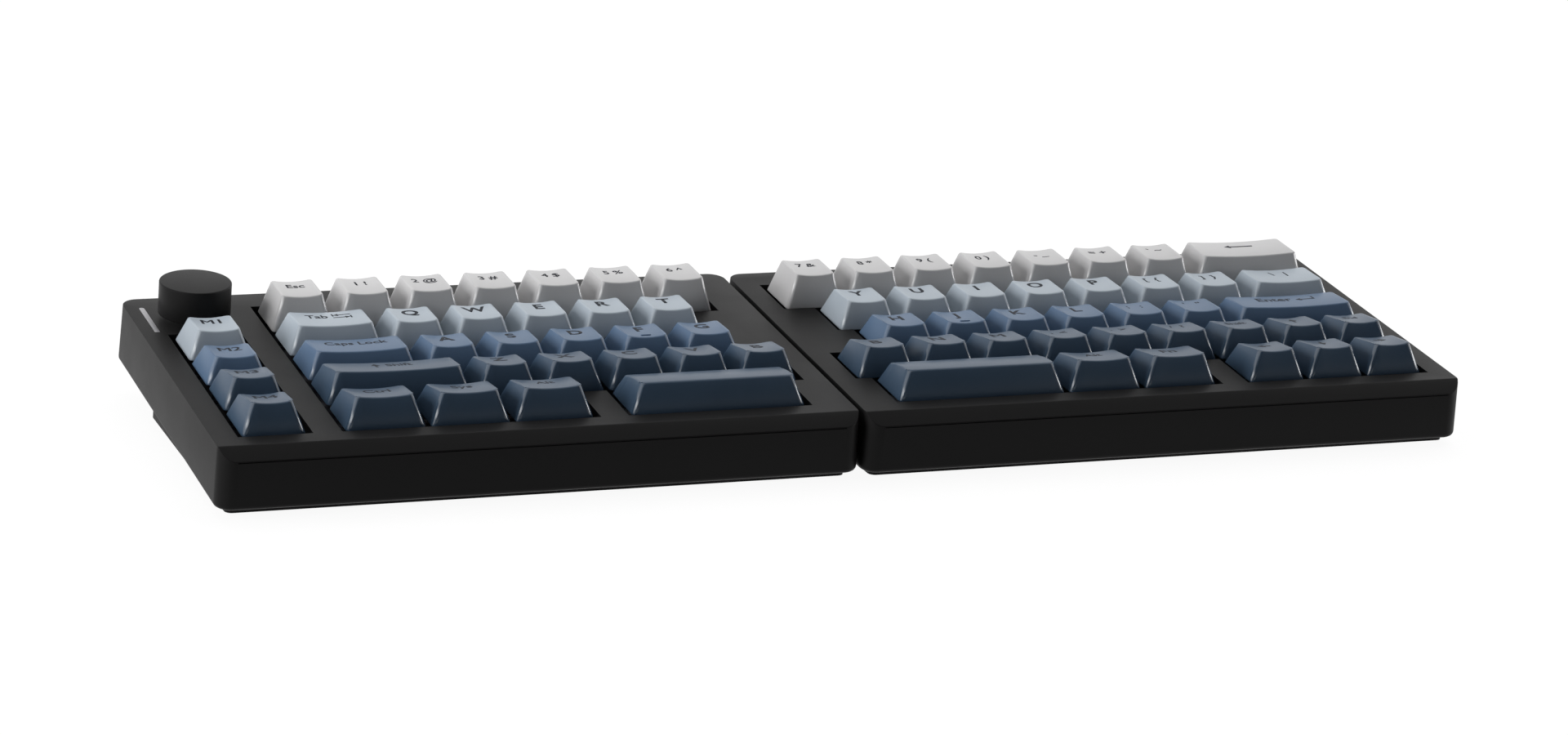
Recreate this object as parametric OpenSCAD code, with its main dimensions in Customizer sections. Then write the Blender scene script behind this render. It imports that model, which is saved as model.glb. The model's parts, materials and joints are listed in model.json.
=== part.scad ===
// Split mechanical keyboard: two tilted halves with sculpted keys, a macro column and a knob.
// Each half is drawn on its own deck: x from the first key cell, y from the front cells, z from the top face.

/* [Key grid] */
// Distance from one key to the next
key_pitch = 19.05; // [18.5:0.05:19.8]
// Gap between the skirts of neighbouring keycaps
key_gap = 1.4; // [1:0.1:1.8]
// How far a key goes down
key_travel = 4; // [2:0.1:4]
// Margin from a key cell to the edge of its well
well_margin = 0.8; // [0.5:0.1:1.2]

/* [Keycaps] */
// Height of the number row's caps
row1_h = 10.2; // [9:0.1:11.5]
// Height of the top letter row's caps
row2_h = 7.8; // [7.4:0.1:10.5]
// Height of the home row's caps
row3_h = 6.9; // [6.8:0.1:9.5]
// Height of the lower letter row's caps
row4_h = 7.6; // [7.4:0.1:9]
// Height of the front row's caps
row5_h = 7.7; // [7.4:0.1:9]
// Forward rise of the number row's tops, in degrees
row1_tilt = 0.5; // [-4:0.5:4]
// Forward rise of the top letter row's tops, in degrees
row2_tilt = 2.5; // [-4:0.5:6]
// Forward rise of the home row's tops, in degrees
row3_tilt = 5.5; // [-4:0.5:7]
// Forward rise of the two front rows' tops, in degrees
row4_tilt = 10.5; // [-4:0.5:11.5]
// Lean of a cap's left and right walls, measured at the top
cap_side_lean = 2.9; // [2:0.1:3.2]
// Lean of a cap's front wall, measured at the top
cap_front_lean = 2.5; // [2:0.1:3.4]
// Lean of the front wall of the number row's caps
row1_front_lean = 1.7; // [1.2:0.1:3.4]
// Lean of a cap's rear wall, measured at the top
cap_rear_lean = 2.6; // [1:0.1:2.8]
// Thickness of a cap's walls
cap_wall = 1.2; // [1:0.1:1.4]
// Thickness of a cap's top
cap_top = 1.3; // [1:0.1:1.6]
// Radius of a cap's upright edges
cap_corner_r = 0.8; // [0.5:0.1:1.4]
// Depth of the finger dish across a cap
dish_depth = 0.65; // [0.4:0.05:0.9]
// Radius of a space bar's rounded top
space_crown_r = 34; // [24:1:60]
// Diameter of the post under a cap
post_d = 5.4; // [5:0.1:5.6]
// How far the skirts sit below the top face
cap_drop = 0.8; // [0.4:0.1:1.4]

/* [Case] */
// Margin from the outer key cells to the sides of the case
side_margin = 7.7; // [7:0.1:12]
// Margin from the front key cells to the front bevel
front_margin = 6.5; // [6:0.1:12]
// Margin from the rear key cells to the back of the case
rear_margin = 11.2; // [10.5:0.1:18]
// Depth of the bevel along the front
bevel_depth = 3.6; // [2:0.1:5]
// Drop of the bevel along the front
bevel_drop = 3.2; // [2:0.1:4]
// Radius of the case's upright corners
corner_r = 4.8; // [4:0.1:8]
// Outward lean of the case walls, in degrees
wall_draft = 2; // [0:0.5:3]
// Thickness of the case walls
wall = 2.6; // [2:0.1:3]
// Thickness of the top face
deck_t = 2.4; // [1.8:0.1:3]
// Thickness of the skirts round the wells
skirt_t = 1.2; // [0.8:0.1:1.4]
// Room between the circuit board and the floor
board_room = 1.3; // [0.8:0.1:6]
// Radius of the slab's lower edge
edge_r = 1.5; // [0.5:0.1:2]
// Thickness of the floor
floor_t = 2.5; // [2.3:0.1:2.7]

/* [Stand] */
// Slope of the keys towards the typist, in degrees
typing_angle = 3.2; // [1:0.1:6]
// Depth of the wedge under the slab
wedge_depth = 83; // [60:1:95]
// Height of the wedge at its front
wedge_front_h = 1.7; // [1.4:0.1:6]
// Diameter of a rubber foot
foot_d = 10; // [6:0.5:14]
// How far a foot stands out of the wedge
foot_out = 0.6; // [0.3:0.1:1.5]
// Gap between the halves, where they are widest
half_gap = 0.3; // [0.3:0.1:60]
// How far the right half stands in front of the left one
right_forward = 1.4; // [0:0.1:20]

/* [Knob] */
// Diameter of the knob
knob_d = 20.4; // [15:0.2:21]
// Height of the knob
knob_h = 9.5; // [7:0.1:12]
// Gap under the knob
knob_gap = 1.7; // [1:0.1:3]
// Distance from the rear key cells forward to the knob's centre
knob_back = 6.6; // [5:0.1:9.5]
// Diameter of the encoder shaft
shaft_d = 6; // [5:0.1:6.4]
// How far the knob goes down when pressed
knob_travel = 0.5; // [0.3:0.1:0.7]

/* [Light bar] */
// Length of the light bar
light_l = 20; // [12:0.5:21.5]
// Width of the light bar
light_w = 1.7; // [1.2:0.1:2]
// Distance from the case's left side to the middle of the light bar
light_in = 4.6; // [4.5:0.1:5.2]
// Distance from the macro key cells back to the light bar
light_back = 3.2; // [3.1:0.1:4.5]

/* [Inside] */
// Thickness of the switch plate
plate_t = 1.5; // [1:0.1:1.6]
// Height of a keycap's skirt over the plate
skirt_over_plate = 6; // [5.6:0.1:6.6]
// Height of a switch over the plate
switch_h = 6.2; // [5.8:0.1:6.2]
// Distance from the plate's top to the circuit board
plate_to_board = 5; // [4.8:0.1:5.2]
// Thickness of the circuit board
board_t = 1.6; // [1:0.1:1.7]
// Diameter of the case screws
screw_d = 2; // [1.6:0.1:2.4]

/* [Hidden] */
$fn = 48;
LEFT = 0;
RIGHT = 1;
rows = 5;
fit = 0.2;
snug = 0.1;
running = 0.05;
over = 1;
cap_steps = 3;
case_steps = 8;
dish_facets = 96;

// Keys of each half: node name, row, then the left edge, width and homing mark of each key, in key widths.
left_keys = [
    ["key_esc", 1, [[0, 1, false]]],
    ["keys_one_to_six", 1, [for (i = [1 : 6]) [i, 1, false]]],
    ["key_tab", 2, [[0, 1.5, false]]],
    ["keys_q_to_t", 2, [for (i = [0 : 4]) [1.5 + i, 1, false]]],
    ["key_caps_lock", 3, [[0, 1.75, false]]],
    ["keys_a_to_g", 3, [for (i = [0 : 4]) [1.75 + i, 1, i == 3]]],
    ["key_left_shift", 4, [[0, 2.25, false]]],
    ["keys_z_to_b", 4, [for (i = [0 : 4]) [2.25 + i, 1, false]]],
    ["key_left_ctrl", 5, [[0, 1.25, false]]],
    ["key_left_system", 5, [[1.25, 1.25, false]]],
    ["key_left_alt", 5, [[2.5, 1.25, false]]],
    ["key_left_space", 5, [[4.25, 2.75, false]]],
    ["key_macro_one", 2, [[-1.5, 1, false]]],
    ["key_macro_two", 3, [[-1.5, 1, false]]],
    ["key_macro_three", 4, [[-1.5, 1, false]]],
    ["key_macro_four", 5, [[-1.5, 1, false]]]
];
right_keys = [
    ["keys_seven_to_grave", 1, [for (i = [0 : 6]) [i, 1, false]]],
    ["key_backspace", 1, [[7, 2, false]]],
    ["keys_y_to_bracket", 2, [for (i = [0 : 6]) [0.5 + i, 1, false]]],
    ["key_backslash", 2, [[7.5, 1.5, false]]],
    ["keys_h_to_quote", 3, [for (i = [0 : 5]) [0.75 + i, 1, i == 1]]],
    ["key_enter", 3, [[6.75, 2.25, false]]],
    ["keys_b_to_slash", 4, [for (i = [0 : 5]) [i, 1, false]]],
    ["key_right_shift", 4, [[6, 1, false]]],
    ["key_up", 4, [[7, 1, false]]],
    ["key_end", 4, [[8, 1, false]]],
    ["key_right_space", 5, [[0.25, 2.75, false]]],
    ["key_right_alt", 5, [[3, 1.25, false]]],
    ["key_fn", 5, [[4.25, 1.25, false]]],
    ["key_left_arrow", 5, [[6, 1, false]]],
    ["key_down_arrow", 5, [[7, 1, false]]],
    ["key_right_arrow", 5, [[8, 1, false]]]
];
// Wells of each half: first row, last row, then the left and right edges, in key widths.
left_wells = [
    [1, 1, 0, 7], [2, 2, 0, 6.5], [3, 3, 0, 6.75], [4, 4, 0, 7.25], [5, 5, 0, 3.75], [5, 5, 4.25, 7],
    [2, 5, -1.5, -0.5]
];
right_wells = [
    [1, 1, 0, 9], [2, 2, 0.5, 9], [3, 3, 0.75, 9], [4, 4, 0, 9], [5, 5, 0.25, 5.5], [5, 5, 6, 9]
];

function keys(h) = h == LEFT ? left_keys : right_keys;
function wells(h) = h == LEFT ? left_wells : right_wells;
function grid_x0(h) = (h == LEFT ? -1.5 : 0) * key_pitch;
function grid_x1(h) = (h == LEFT ? 7.25 : 9) * key_pitch;
function row_y(row) = (rows - row) * key_pitch;
function key_x(key) = (key[0] + key[1] / 2) * key_pitch;
function key_y(row) = row_y(row) + key_pitch / 2;

// Heights on the deck, from the top face down
grid_d = rows * key_pitch;
skirt_z = -cap_drop;
plate_z = skirt_z - skirt_over_plate;
switch_z = plate_z + switch_h;
board_z = plate_z - plate_to_board;
floor_z = board_z - board_t - board_room;
slab_h = floor_t - floor_z;

// Outline of the slab at the top face
function case_x0(h) = grid_x0(h) - side_margin;
function case_x1(h) = grid_x1(h) + side_margin;
case_y0 = -front_margin - bevel_depth;
case_y1 = grid_d + rear_margin;
lean = tan(wall_draft);
bevel_slope = bevel_drop / bevel_depth;

// Wedge under the slab
wedge_in = wall + fit;
wedge_y0 = case_y0 + wedge_in;
wedge_y1 = wedge_y0 + wedge_depth;
wedge_drop = wedge_depth * tan(typing_angle);
wedge_wall = 2.2;
screw_strip = 9.5;
front_strip = wedge_in + screw_strip;
foot_sunk = 1;
foot_edge = 4;
foot_in = foot_d / 2 + foot_edge;

// Where the halves stand: the origin is in the middle of the footprint, on the desk
left_w = case_x1(LEFT) - case_x0(LEFT);
right_w = case_x1(RIGHT) - case_x0(RIGHT);
low_z = -slab_h + edge_r;
total_w = left_w + half_gap - 2 * lean * low_z + right_w;
function half_x(h) = h == LEFT ? -total_w / 2 - case_x0(LEFT) : total_w / 2 - case_x1(RIGHT);
function turned_y(y, z) = y * cos(typing_angle) - z * sin(typing_angle);
crease_y = (case_y0 + lean * bevel_slope * front_margin) / (1 - lean * bevel_slope);
crease_z = (crease_y + front_margin) * bevel_slope;
front_y = turned_y(crease_y, crease_z) - right_forward;
back_y = turned_y(case_y1 - lean * low_z, low_z);
deck_z = foot_out - wedge_y0 * sin(typing_angle) + (slab_h + wedge_front_h) * cos(typing_angle);
function half_y(h) = -(front_y + back_y) / 2 - (h == RIGHT ? right_forward : 0);

// Supports of the plate and places of the screws
tab_w = 13;
tab_count = 4;
tab_y0 = case_y0 + wall + fit;
tab_y1 = case_y1 - wall - fit;
pad_t = 1.5;
pad_in = 0.5;
well_clear = well_margin + skirt_t + pad_in;
pad_spans = [[tab_y0 + pad_in, -well_clear], [grid_d + well_clear, tab_y1 - pad_in]];
boss_wall = 1.3;
boss_gap = 0.6;
boss_in = 5;
boss_d = screw_d + 2 * boss_wall;
boss_front_y = case_y0 + wall + boss_gap + boss_d / 2;
boss_rear_y = case_y1 - wall - boss_gap - boss_d / 2;
head_over = 0.9;
head_d = screw_d + 2 * head_over;
head_h = 1.1;
head_z = -slab_h + head_h + snug;
screw_l = 9;
function tab_x(h, i) = grid_x0(h) + (i + 0.5) * (grid_x1(h) - grid_x0(h)) / tab_count;
function boss_x(h) = [grid_x0(h) + boss_in, (grid_x0(h) + grid_x1(h)) / 2, grid_x1(h) - boss_in];

// Keycaps, switches and stabilisers
cap_d = key_pitch - key_gap;
function cap_w(key) = key[1] * key_pitch - key_gap;
function cap_h(row) = [row1_h, row2_h, row3_h, row4_h, row5_h][row - 1];
function cap_tilt(row) = [row1_tilt, row2_tilt, row3_tilt, row4_tilt, row4_tilt][row - 1];
cap_stock = 2.5;
bar_l = 2.9;
bar_w = 0.6;
bar_h = 0.35;
bar_front = 4;
function front_lean(row) = row == 1 ? row1_front_lean : cap_front_lean;
function cap_shift(row) = (front_lean(row) - cap_rear_lean) / 2;
function cap_top_d(row) = cap_d - front_lean(row) - cap_rear_lean;
post_z = switch_z + snug;
cross_l = 4;
cross_w = 1.2;
cross_h = 3.4;
switch_hole = 14;
switch_flange = 15.4;
flange_t = 1;
switch_top_w = 10.6;
switch_top_d = 9;
slot_w = 7.2;
slot_d = 6.2;
switch_floor = 0.8;
slider_room = key_travel + fit;
slider_end = board_z + switch_floor + slider_room;
stab_offset = 11.94;
stab_from = 2;
stab_w = 7.6;
stab_d = 12.4;
stab_h = 4.6;
stab_below = 4;
stab_slot_w = 6.2;
stab_slot_d = 8.6;
stab_end = plate_z - stab_below + switch_floor + slider_room;
function is_long(key) = key[1] >= stab_from;
function stems(key) = is_long(key) ? [-stab_offset, 0, stab_offset] : [0];

// Knob and encoder
knob_x = -key_pitch;
knob_y = grid_d - knob_back;
knob_edge = 0.4;
knob_wall = 1.6;
knob_top = 2.4;
hub_wall = 1.5;
hub_d = shaft_d + 2 * hub_wall;
shaft_flat = 1.5;
encoder_w = 12;
encoder_d = 12.4;
encoder_h = 6;
encoder_wall = 1;
bush_wall = 0.6;
bush_d = shaft_d + 2 * bush_wall;
bush_h = 3.6;
collar_over = 1;
collar_d = shaft_d + 2 * collar_over;
collar_t = 1.2;
plunger_t = 1.5;
encoder_z = board_z + encoder_h;
plunger_z = board_z + encoder_wall + knob_travel + snug;
shaft_z = plunger_z + plunger_t + running;
shaft_top = knob_gap + knob_h - knob_top - snug;

// Light bar and socket
light_x = case_x0(LEFT) + light_in;
light_y = row_y(1) + light_back;
light_lip = 0.6;
light_foot = 1;
usb_w = 8.94;
usb_h = 3.26;
usb_l = 7.4;
usb_shell = 0.3;
usb_tongue_w = 6.7;
usb_tongue_t = 0.7;
usb_back = 2;
board_edge = 2;
function usb_x(h) = (tab_x(h, 2) + tab_x(h, 3)) / 2;
usb_z = board_z + usb_h / 2;
usb_y = case_y1 - usb_l;

// Puts a half's deck where it stands, sloped towards the typist.
module on_deck(h) {
    translate([half_x(h), half_y(h), deck_z]) rotate([typing_angle, 0, 0]) children();
}

// Puts its children on the flat underside of the wedge, with z up from it.
module on_wedge() {
    translate([0, wedge_y0, -slab_h - wedge_front_h]) rotate([-typing_angle, 0, 0]) children();
}

// A ring of points round a rectangle with round corners, seen from above.
function ring(x0, x1, y0, y1, r, z, steps) = [
    for (c = [[x1 - r, y0 + r, -90], [x1 - r, y1 - r, 0], [x0 + r, y1 - r, 90], [x0 + r, y0 + r, 180]])
        for (i = [0 : steps])
            let (a = c[2] + 90 * i / steps) [c[0] + r * cos(a), c[1] + r * sin(a), z]
];

// A ring with square corners.
function square_ring(x0, x1, y0, y1, z) = [[x0, y0, z], [x1, y0, z], [x1, y1, z], [x0, y1, z]];

// A solid through rings that lie one above another.
module loft(rings) {
    n = len(rings[0]);
    top = len(rings) - 1;
    polyhedron(
        points = [for (r = rings) for (p = r) p],
        faces = concat(
            [[for (i = [0 : n - 1]) i]],
            [[for (i = [n - 1 : -1 : 0]) top * n + i]],
            [for (k = [0 : top - 1]) for (i = [0 : n - 1])
                [k * n + i, (k + 1) * n + i, (k + 1) * n + (i + 1) % n, k * n + (i + 1) % n]]
        )
    );
}

// An upright block with round corners.
module round_block(x0, x1, y0, y1, r, z0, z1) {
    translate([0, 0, z0]) linear_extrude(z1 - z0) {
        translate([x0 + r, y0]) square([x1 - x0 - 2 * r, y1 - y0]);
        translate([x0, y0 + r]) square([x1 - x0, y1 - y0 - 2 * r]);
        for (x = [x0 + r, x1 - r], y = [y0 + r, y1 - r])
            translate([x, y]) circle(r);
    }
}

// A bar with two round ends, lying along x and extruded along z.
module stadium(w, h, l) {
    linear_extrude(l) {
        square([w - h, h], center = true);
        for (s = [-1, 1])
            translate([s * (w - h) / 2, 0]) circle(d = h);
    }
}

// The outer form of a half: leaning walls over a rounded lower edge.
module slab(h) {
    function level(z, grow) = ring(
        case_x0(h) - grow, case_x1(h) + grow, case_y0 - grow, case_y1 + grow, corner_r + grow, z, case_steps);
    grow = -lean * low_z;
    loft(concat(
        [for (a = [90, 45, 0]) level(-slab_h + edge_r * (1 - sin(a)), grow - edge_r * (1 - cos(a)))],
        [level(0, 0)]
    ));
}

// What the sloping front bevel takes off the slab.
module bevel_cut(h) {
    reach = bevel_depth + bevel_drop + over;
    translate([case_x0(h) - reach, -front_margin, 0]) rotate([atan(bevel_slope), 0, 0])
        translate([0, -2 * reach, 0]) cube([case_x1(h) - case_x0(h) + 2 * reach, 2 * reach, reach]);
}

// The stepped openings round the keys, grown by a margin.
module well_blocks(h, grow, z0, z1) {
    m = well_margin + grow;
    for (w = wells(h))
        translate([w[2] * key_pitch - m, row_y(w[1]) - m, z0])
            cube([(w[3] - w[2]) * key_pitch + 2 * m, (w[1] - w[0] + 1) * key_pitch + 2 * m, z1 - z0]);
}

// Footprints of the plate's supports, one at each tab.
module pads(h, z0, z1) {
    for (i = [0 : tab_count - 1], span = pad_spans)
        translate([tab_x(h, i) - tab_w / 2 + pad_in, span[0], z0])
            cube([tab_w - 2 * pad_in, span[1] - span[0], z1 - z0]);
}

// Places its children at each case screw.
module at_screws(h) {
    for (x = boss_x(h), y = [boss_front_y, boss_rear_y])
        translate([x, y, 0]) children();
}

// The socket's outline, standing on the rear wall.
module at_socket(h) {
    translate([usb_x(h), usb_y, usb_z]) rotate([-90, 0, 0]) children();
}

// Upper shell of a half: deck, walls, wells and screw bosses in one moulding.
module top_case(h) {
    color("#2b2b2d") on_deck(h) difference() {
        union() {
            difference() {
                slab(h);
                round_block(case_x0(h) + wall, case_x1(h) - wall, case_y0 + wall, case_y1 - wall,
                    corner_r - wall, -slab_h - over, -deck_t);
            }
            well_blocks(h, skirt_t, plate_z + 2 * fit, -deck_t / 2);
            at_screws(h) translate([0, 0, floor_z]) cylinder(d = boss_d, h = -deck_t / 2 - floor_z);
            pads(h, plate_z + pad_t, -deck_t / 2);
        }
        bevel_cut(h);
        well_blocks(h, 0, -slab_h, over);
        at_screws(h) translate([0, 0, floor_z - over])
            cylinder(d = screw_d + fit, h = screw_l + over + snug + head_z - floor_z);
        at_socket(h) stadium(usb_w + 2 * fit, usb_h + 2 * fit, usb_l + wall + over);
        if (h == LEFT) {
            translate([knob_x, knob_y, -deck_t - over]) cylinder(d = bush_d + 2 * fit, h = deck_t + 2 * over);
            light_slot(light_w, light_l, -deck_t - over, over);
        }
    }
}

// Lower shell: a floor that slips between the walls, with the hollow wedge under it.
module bottom_case(h) {
    x0 = case_x0(h) + wedge_in;
    x1 = case_x1(h) - wedge_in;
    r = corner_r - wedge_in;
    deep = wedge_front_h + wedge_drop + over;
    reach = x1 - x0 + 2 * over;
    hollow_y0 = case_y0 + front_strip;
    color("#1e1e20") on_deck(h) difference() {
        union() {
            round_block(x0, x1, wedge_y0, case_y1 - wedge_in, r, -slab_h, floor_z);
            difference() {
                round_block(x0, x1, wedge_y0, wedge_y1, r, -slab_h - deep, -slab_h + floor_t / 2);
                on_wedge() translate([x0 - over, -wedge_depth, -2 * deep])
                    cube([reach, 3 * wedge_depth, 2 * deep]);
            }
            pads(h, floor_z - floor_t / 2, plate_z - plate_t - pad_t);
        }
        intersection() {
            translate([x0 + wedge_wall, hollow_y0, -slab_h - deep])
                cube([x1 - x0 - 2 * wedge_wall, wedge_y1 - wedge_wall - hollow_y0, deep + slab_h]);
            on_wedge() translate([x0 - over, 0, wedge_wall]) cube([reach, 2 * wedge_depth, slab_h + deep]);
        }
        at_screws(h) {
            translate([0, 0, -slab_h - deep]) cylinder(d = head_d + 2 * fit, h = deep + slab_h + head_z);
            translate([0, 0, -slab_h]) cylinder(d = screw_d + 2 * fit, h = slab_h);
        }
        on_wedge() at_feet(h) translate([0, 0, -over]) cylinder(d = foot_d + fit, h = foot_sunk + over);
    }
}

// Places its children at the four feet of a half.
module at_feet(h) {
    inset = wedge_in + foot_in;
    for (x = [case_x0(h) + inset, case_x1(h) - inset], y = [foot_in, wedge_depth - foot_in])
        translate([x, y, 0]) children();
}

// Rubber feet set into the wedge.
module feet(h) {
    color("#161616") on_deck(h) on_wedge() at_feet(h)
        translate([0, 0, -foot_out]) cylinder(d = foot_d, h = foot_out + foot_sunk);
}

// Case screws, driven from below.
module screws(h) {
    color("#55585c") on_deck(h) at_screws(h) translate([0, 0, head_z - head_h]) {
        cylinder(d = head_d, h = head_h);
        cylinder(d = screw_d, h = head_h + screw_l);
    }
}

// Plate that the switches clip into, with tabs held between the gaskets.
module plate(h) {
    color("#3c3e42") on_deck(h) difference() {
        translate([0, 0, plate_z - plate_t]) linear_extrude(plate_t) {
            translate([grid_x0(h), 0]) square([grid_x1(h) - grid_x0(h), grid_d]);
            for (i = [0 : tab_count - 1])
                translate([tab_x(h, i) - tab_w / 2, tab_y0]) square([tab_w, tab_y1 - tab_y0]);
        }
        translate([0, 0, plate_z - plate_t - over]) linear_extrude(plate_t + 2 * over) {
            for (k = keys(h), key = k[2]) {
                translate([key_x(key), key_y(k[1])]) square(switch_hole, center = true);
                if (is_long(key)) for (s = [-1, 1])
                    translate([key_x(key) + s * stab_offset, key_y(k[1])])
                        square([stab_w + snug, stab_d + snug], center = true);
            }
            if (h == LEFT)
                translate([knob_x - encoder_w / 2 - fit, knob_y - encoder_d / 2 - fit])
                    square([encoder_w + 2 * fit, knob_back + encoder_d / 2 + fit + over]);
        }
    }
}

// Circuit board under the switches, with a tongue for the socket.
module circuit_board(h) {
    color("#20352c") on_deck(h) translate([0, 0, board_z - board_t]) linear_extrude(board_t) {
        translate([grid_x0(h), 0]) square([grid_x1(h) - grid_x0(h), grid_d]);
        translate([usb_x(h) - usb_w / 2 - board_edge, grid_d - over])
            square([usb_w + 2 * board_edge, tab_y1 - grid_d + over]);
    }
}

// Switch housings, one under each key, open at the top for the slider.
module switch_housings(h) {
    color("#4a4c50") on_deck(h) for (k = keys(h), key = k[2])
        translate([key_x(key), key_y(k[1]), 0]) switch_housing();
}

module switch_housing() {
    body = switch_hole - snug;
    shoulder = switch_hole - 2 * fit;
    difference() {
        union() {
            translate([-body / 2, -body / 2, board_z]) cube([body, body, plate_z - board_z]);
            translate([-switch_flange / 2, -switch_flange / 2, plate_z])
                cube([switch_flange, switch_flange, flange_t]);
            loft([
                square_ring(-shoulder / 2, shoulder / 2, -shoulder / 2, shoulder / 2, plate_z + flange_t / 2),
                square_ring(
                    -switch_top_w / 2, switch_top_w / 2, -switch_top_d / 2, switch_top_d / 2, switch_z)
            ]);
        }
        translate([-slot_w / 2, -slot_d / 2, board_z + switch_floor]) cube([slot_w, slot_d, slab_h]);
    }
}

// Stabiliser housings under the long keys.
module stabilisers(h) {
    color("#2e3033") on_deck(h) for (k = keys(h), key = k[2]) if (is_long(key)) for (s = [-1, 1])
        translate([key_x(key) + s * stab_offset, key_y(k[1]), plate_z - stab_below]) difference() {
            translate([-stab_w / 2, -stab_d / 2, 0]) cube([stab_w, stab_d, stab_below + stab_h]);
            translate([-stab_slot_w / 2, -stab_slot_d / 2, switch_floor])
                cube([stab_slot_w, stab_slot_d, slab_h]);
        }
}

// Soft pads over and under each tab of the plate.
module gaskets(h) {
    color("#0f0f10") on_deck(h) {
        pads(h, plate_z, plate_z + pad_t);
        pads(h, plate_z - plate_t - pad_t, plate_z - plate_t);
    }
}

// Socket for a cord in the rear wall.
module usb_socket(h) {
    color("#a9abad") on_deck(h) at_socket(h) {
        difference() {
            stadium(usb_w, usb_h, usb_l);
            translate([0, 0, usb_back]) stadium(usb_w - 2 * usb_shell, usb_h - 2 * usb_shell, usb_l);
        }
        translate([-usb_tongue_w / 2, -usb_tongue_t / 2, usb_back / 2])
            cube([usb_tongue_w, usb_tongue_t, usb_l - usb_back]);
    }
}

// A cross-shaped bar, as on a slider and in a cap's post.
module cross(l, w, h) {
    translate([-l / 2, -w / 2, 0]) cube([l, w, h]);
    translate([-w / 2, -l / 2, 0]) cube([w, l, h]);
}

// Slider of a switch or stabiliser: a collar in the slot and a cross in the cap.
module slider(w, d, end_z) {
    translate([-w / 2, -d / 2, end_z]) cube([w, d, switch_z - end_z]);
    translate([0, 0, switch_z - over]) cross(cross_l, cross_w, cross_h + over);
}

// A keycap on its cell's centre: leaning walls, a dished or crowned top, and posts under it.
module keycap(key, row) {
    w = cap_w(key);
    h = cap_h(row);
    stock = h + cap_stock;
    grow = stock / h;
    front = front_lean(row);
    top_w = w - 2 * cap_side_lean;
    ceiling = h - dish_depth - cap_top - cap_top_d(row) / 2 * tan(abs(cap_tilt(row)));
    shrink = ceiling / h;
    in_w = w / 2 - cap_wall;
    in_d = cap_d / 2 - cap_wall;
    dish_r = top_w * top_w / 8 / dish_depth + dish_depth / 2;
    dish_fn = max(dish_facets, 4 * round(dish_r));
    translate([0, 0, skirt_z]) {
        difference() {
            loft([
                ring(-w / 2, w / 2, -cap_d / 2, cap_d / 2, cap_corner_r, 0, cap_steps),
                ring(-w / 2 + cap_side_lean * grow, w / 2 - cap_side_lean * grow,
                    -cap_d / 2 + front * grow, cap_d / 2 - cap_rear_lean * grow,
                    cap_corner_r, stock, cap_steps)
            ]);
            loft([
                square_ring(-in_w, in_w, -in_d, in_d, -snug),
                square_ring(-in_w + cap_side_lean * shrink, in_w - cap_side_lean * shrink,
                    -in_d + front * shrink, in_d - cap_rear_lean * shrink, ceiling)
            ]);
            translate([0, cap_shift(row), h]) rotate([-cap_tilt(row), 0, 0]) {
                if (row == rows && is_long(key)) crown_cut(w, cap_d);
                else translate([0, cap_d, dish_r - dish_depth]) rotate([90, 0, 0])
                    cylinder(r = dish_r, h = 2 * cap_d, $fn = dish_fn);
            }
        }
        if (key[2]) homing_bar(h, row);
    }
    for (x = stems(key))
        translate([x, 0, post_z]) difference() {
            cylinder(d = post_d, h = skirt_z + ceiling + cap_top / 2 - post_z);
            translate([0, 0, -over]) cross(cross_l + fit, cross_w + fit, cross_h + over + snug);
        }
}

// What the rounded crown takes off a space bar's top.
module crown_cut(w, d) {
    difference() {
        translate([-w, -d, -space_crown_r / 2]) cube([2 * w, 2 * d, space_crown_r]);
        translate([-w - over, 0, -space_crown_r]) rotate([0, 90, 0])
            cylinder(r = space_crown_r, h = 2 * w + 2 * over, $fn = dish_facets);
    }
}

// The small raised bar that marks a home key.
module homing_bar(h, row) {
    bar_y = cap_shift(row) - bar_front;
    bar_z = h - dish_depth + bar_front * tan(cap_tilt(row));
    translate([-bar_l / 2, bar_y - bar_w / 2, bar_z - bar_h]) cube([bar_l, bar_w, 2 * bar_h]);
}

// One key, or a block of equal keys: caps with their sliders.
module key_block(h, entry) {
    row = entry[1];
    shade = ["#c9c6c2", "#b3bcc9", "#6f87a8", "#46536b", "#46536b"][row - 1];
    color(shade) on_deck(h) for (key = entry[2])
        translate([key_x(key), key_y(row), 0]) {
            keycap(key, row);
            for (x = stems(key))
                translate([x, 0, 0]) {
                    if (x == 0) slider(slot_w - 2 * fit, slot_d - 2 * fit, slider_end);
                    else slider(stab_slot_w - 2 * fit, stab_slot_d - 2 * fit, stab_end);
                }
        }
}

// Rotary encoder: a box on the board with a threaded bush round the shaft.
module encoder_body() {
    color("#777a7e") on_deck(LEFT) translate([knob_x, knob_y, 0]) difference() {
        union() {
            translate([-encoder_w / 2, -encoder_d / 2, board_z]) cube([encoder_w, encoder_d, encoder_h]);
            translate([0, 0, encoder_z - over]) cylinder(d = bush_d, h = bush_h + over);
        }
        translate([0, 0, board_z + encoder_wall])
            cylinder(d = collar_d + 2 * fit, h = encoder_h - 2 * encoder_wall);
        translate([0, 0, board_z + encoder_wall]) cylinder(d = shaft_d + 2 * running, h = encoder_h + bush_h);
    }
}

// Plunger in the encoder that the shaft pushes on.
module encoder_plunger() {
    color("#c8c8c8") on_deck(LEFT) translate([knob_x, knob_y, plunger_z])
        cylinder(d = collar_d, h = plunger_t);
}

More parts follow.
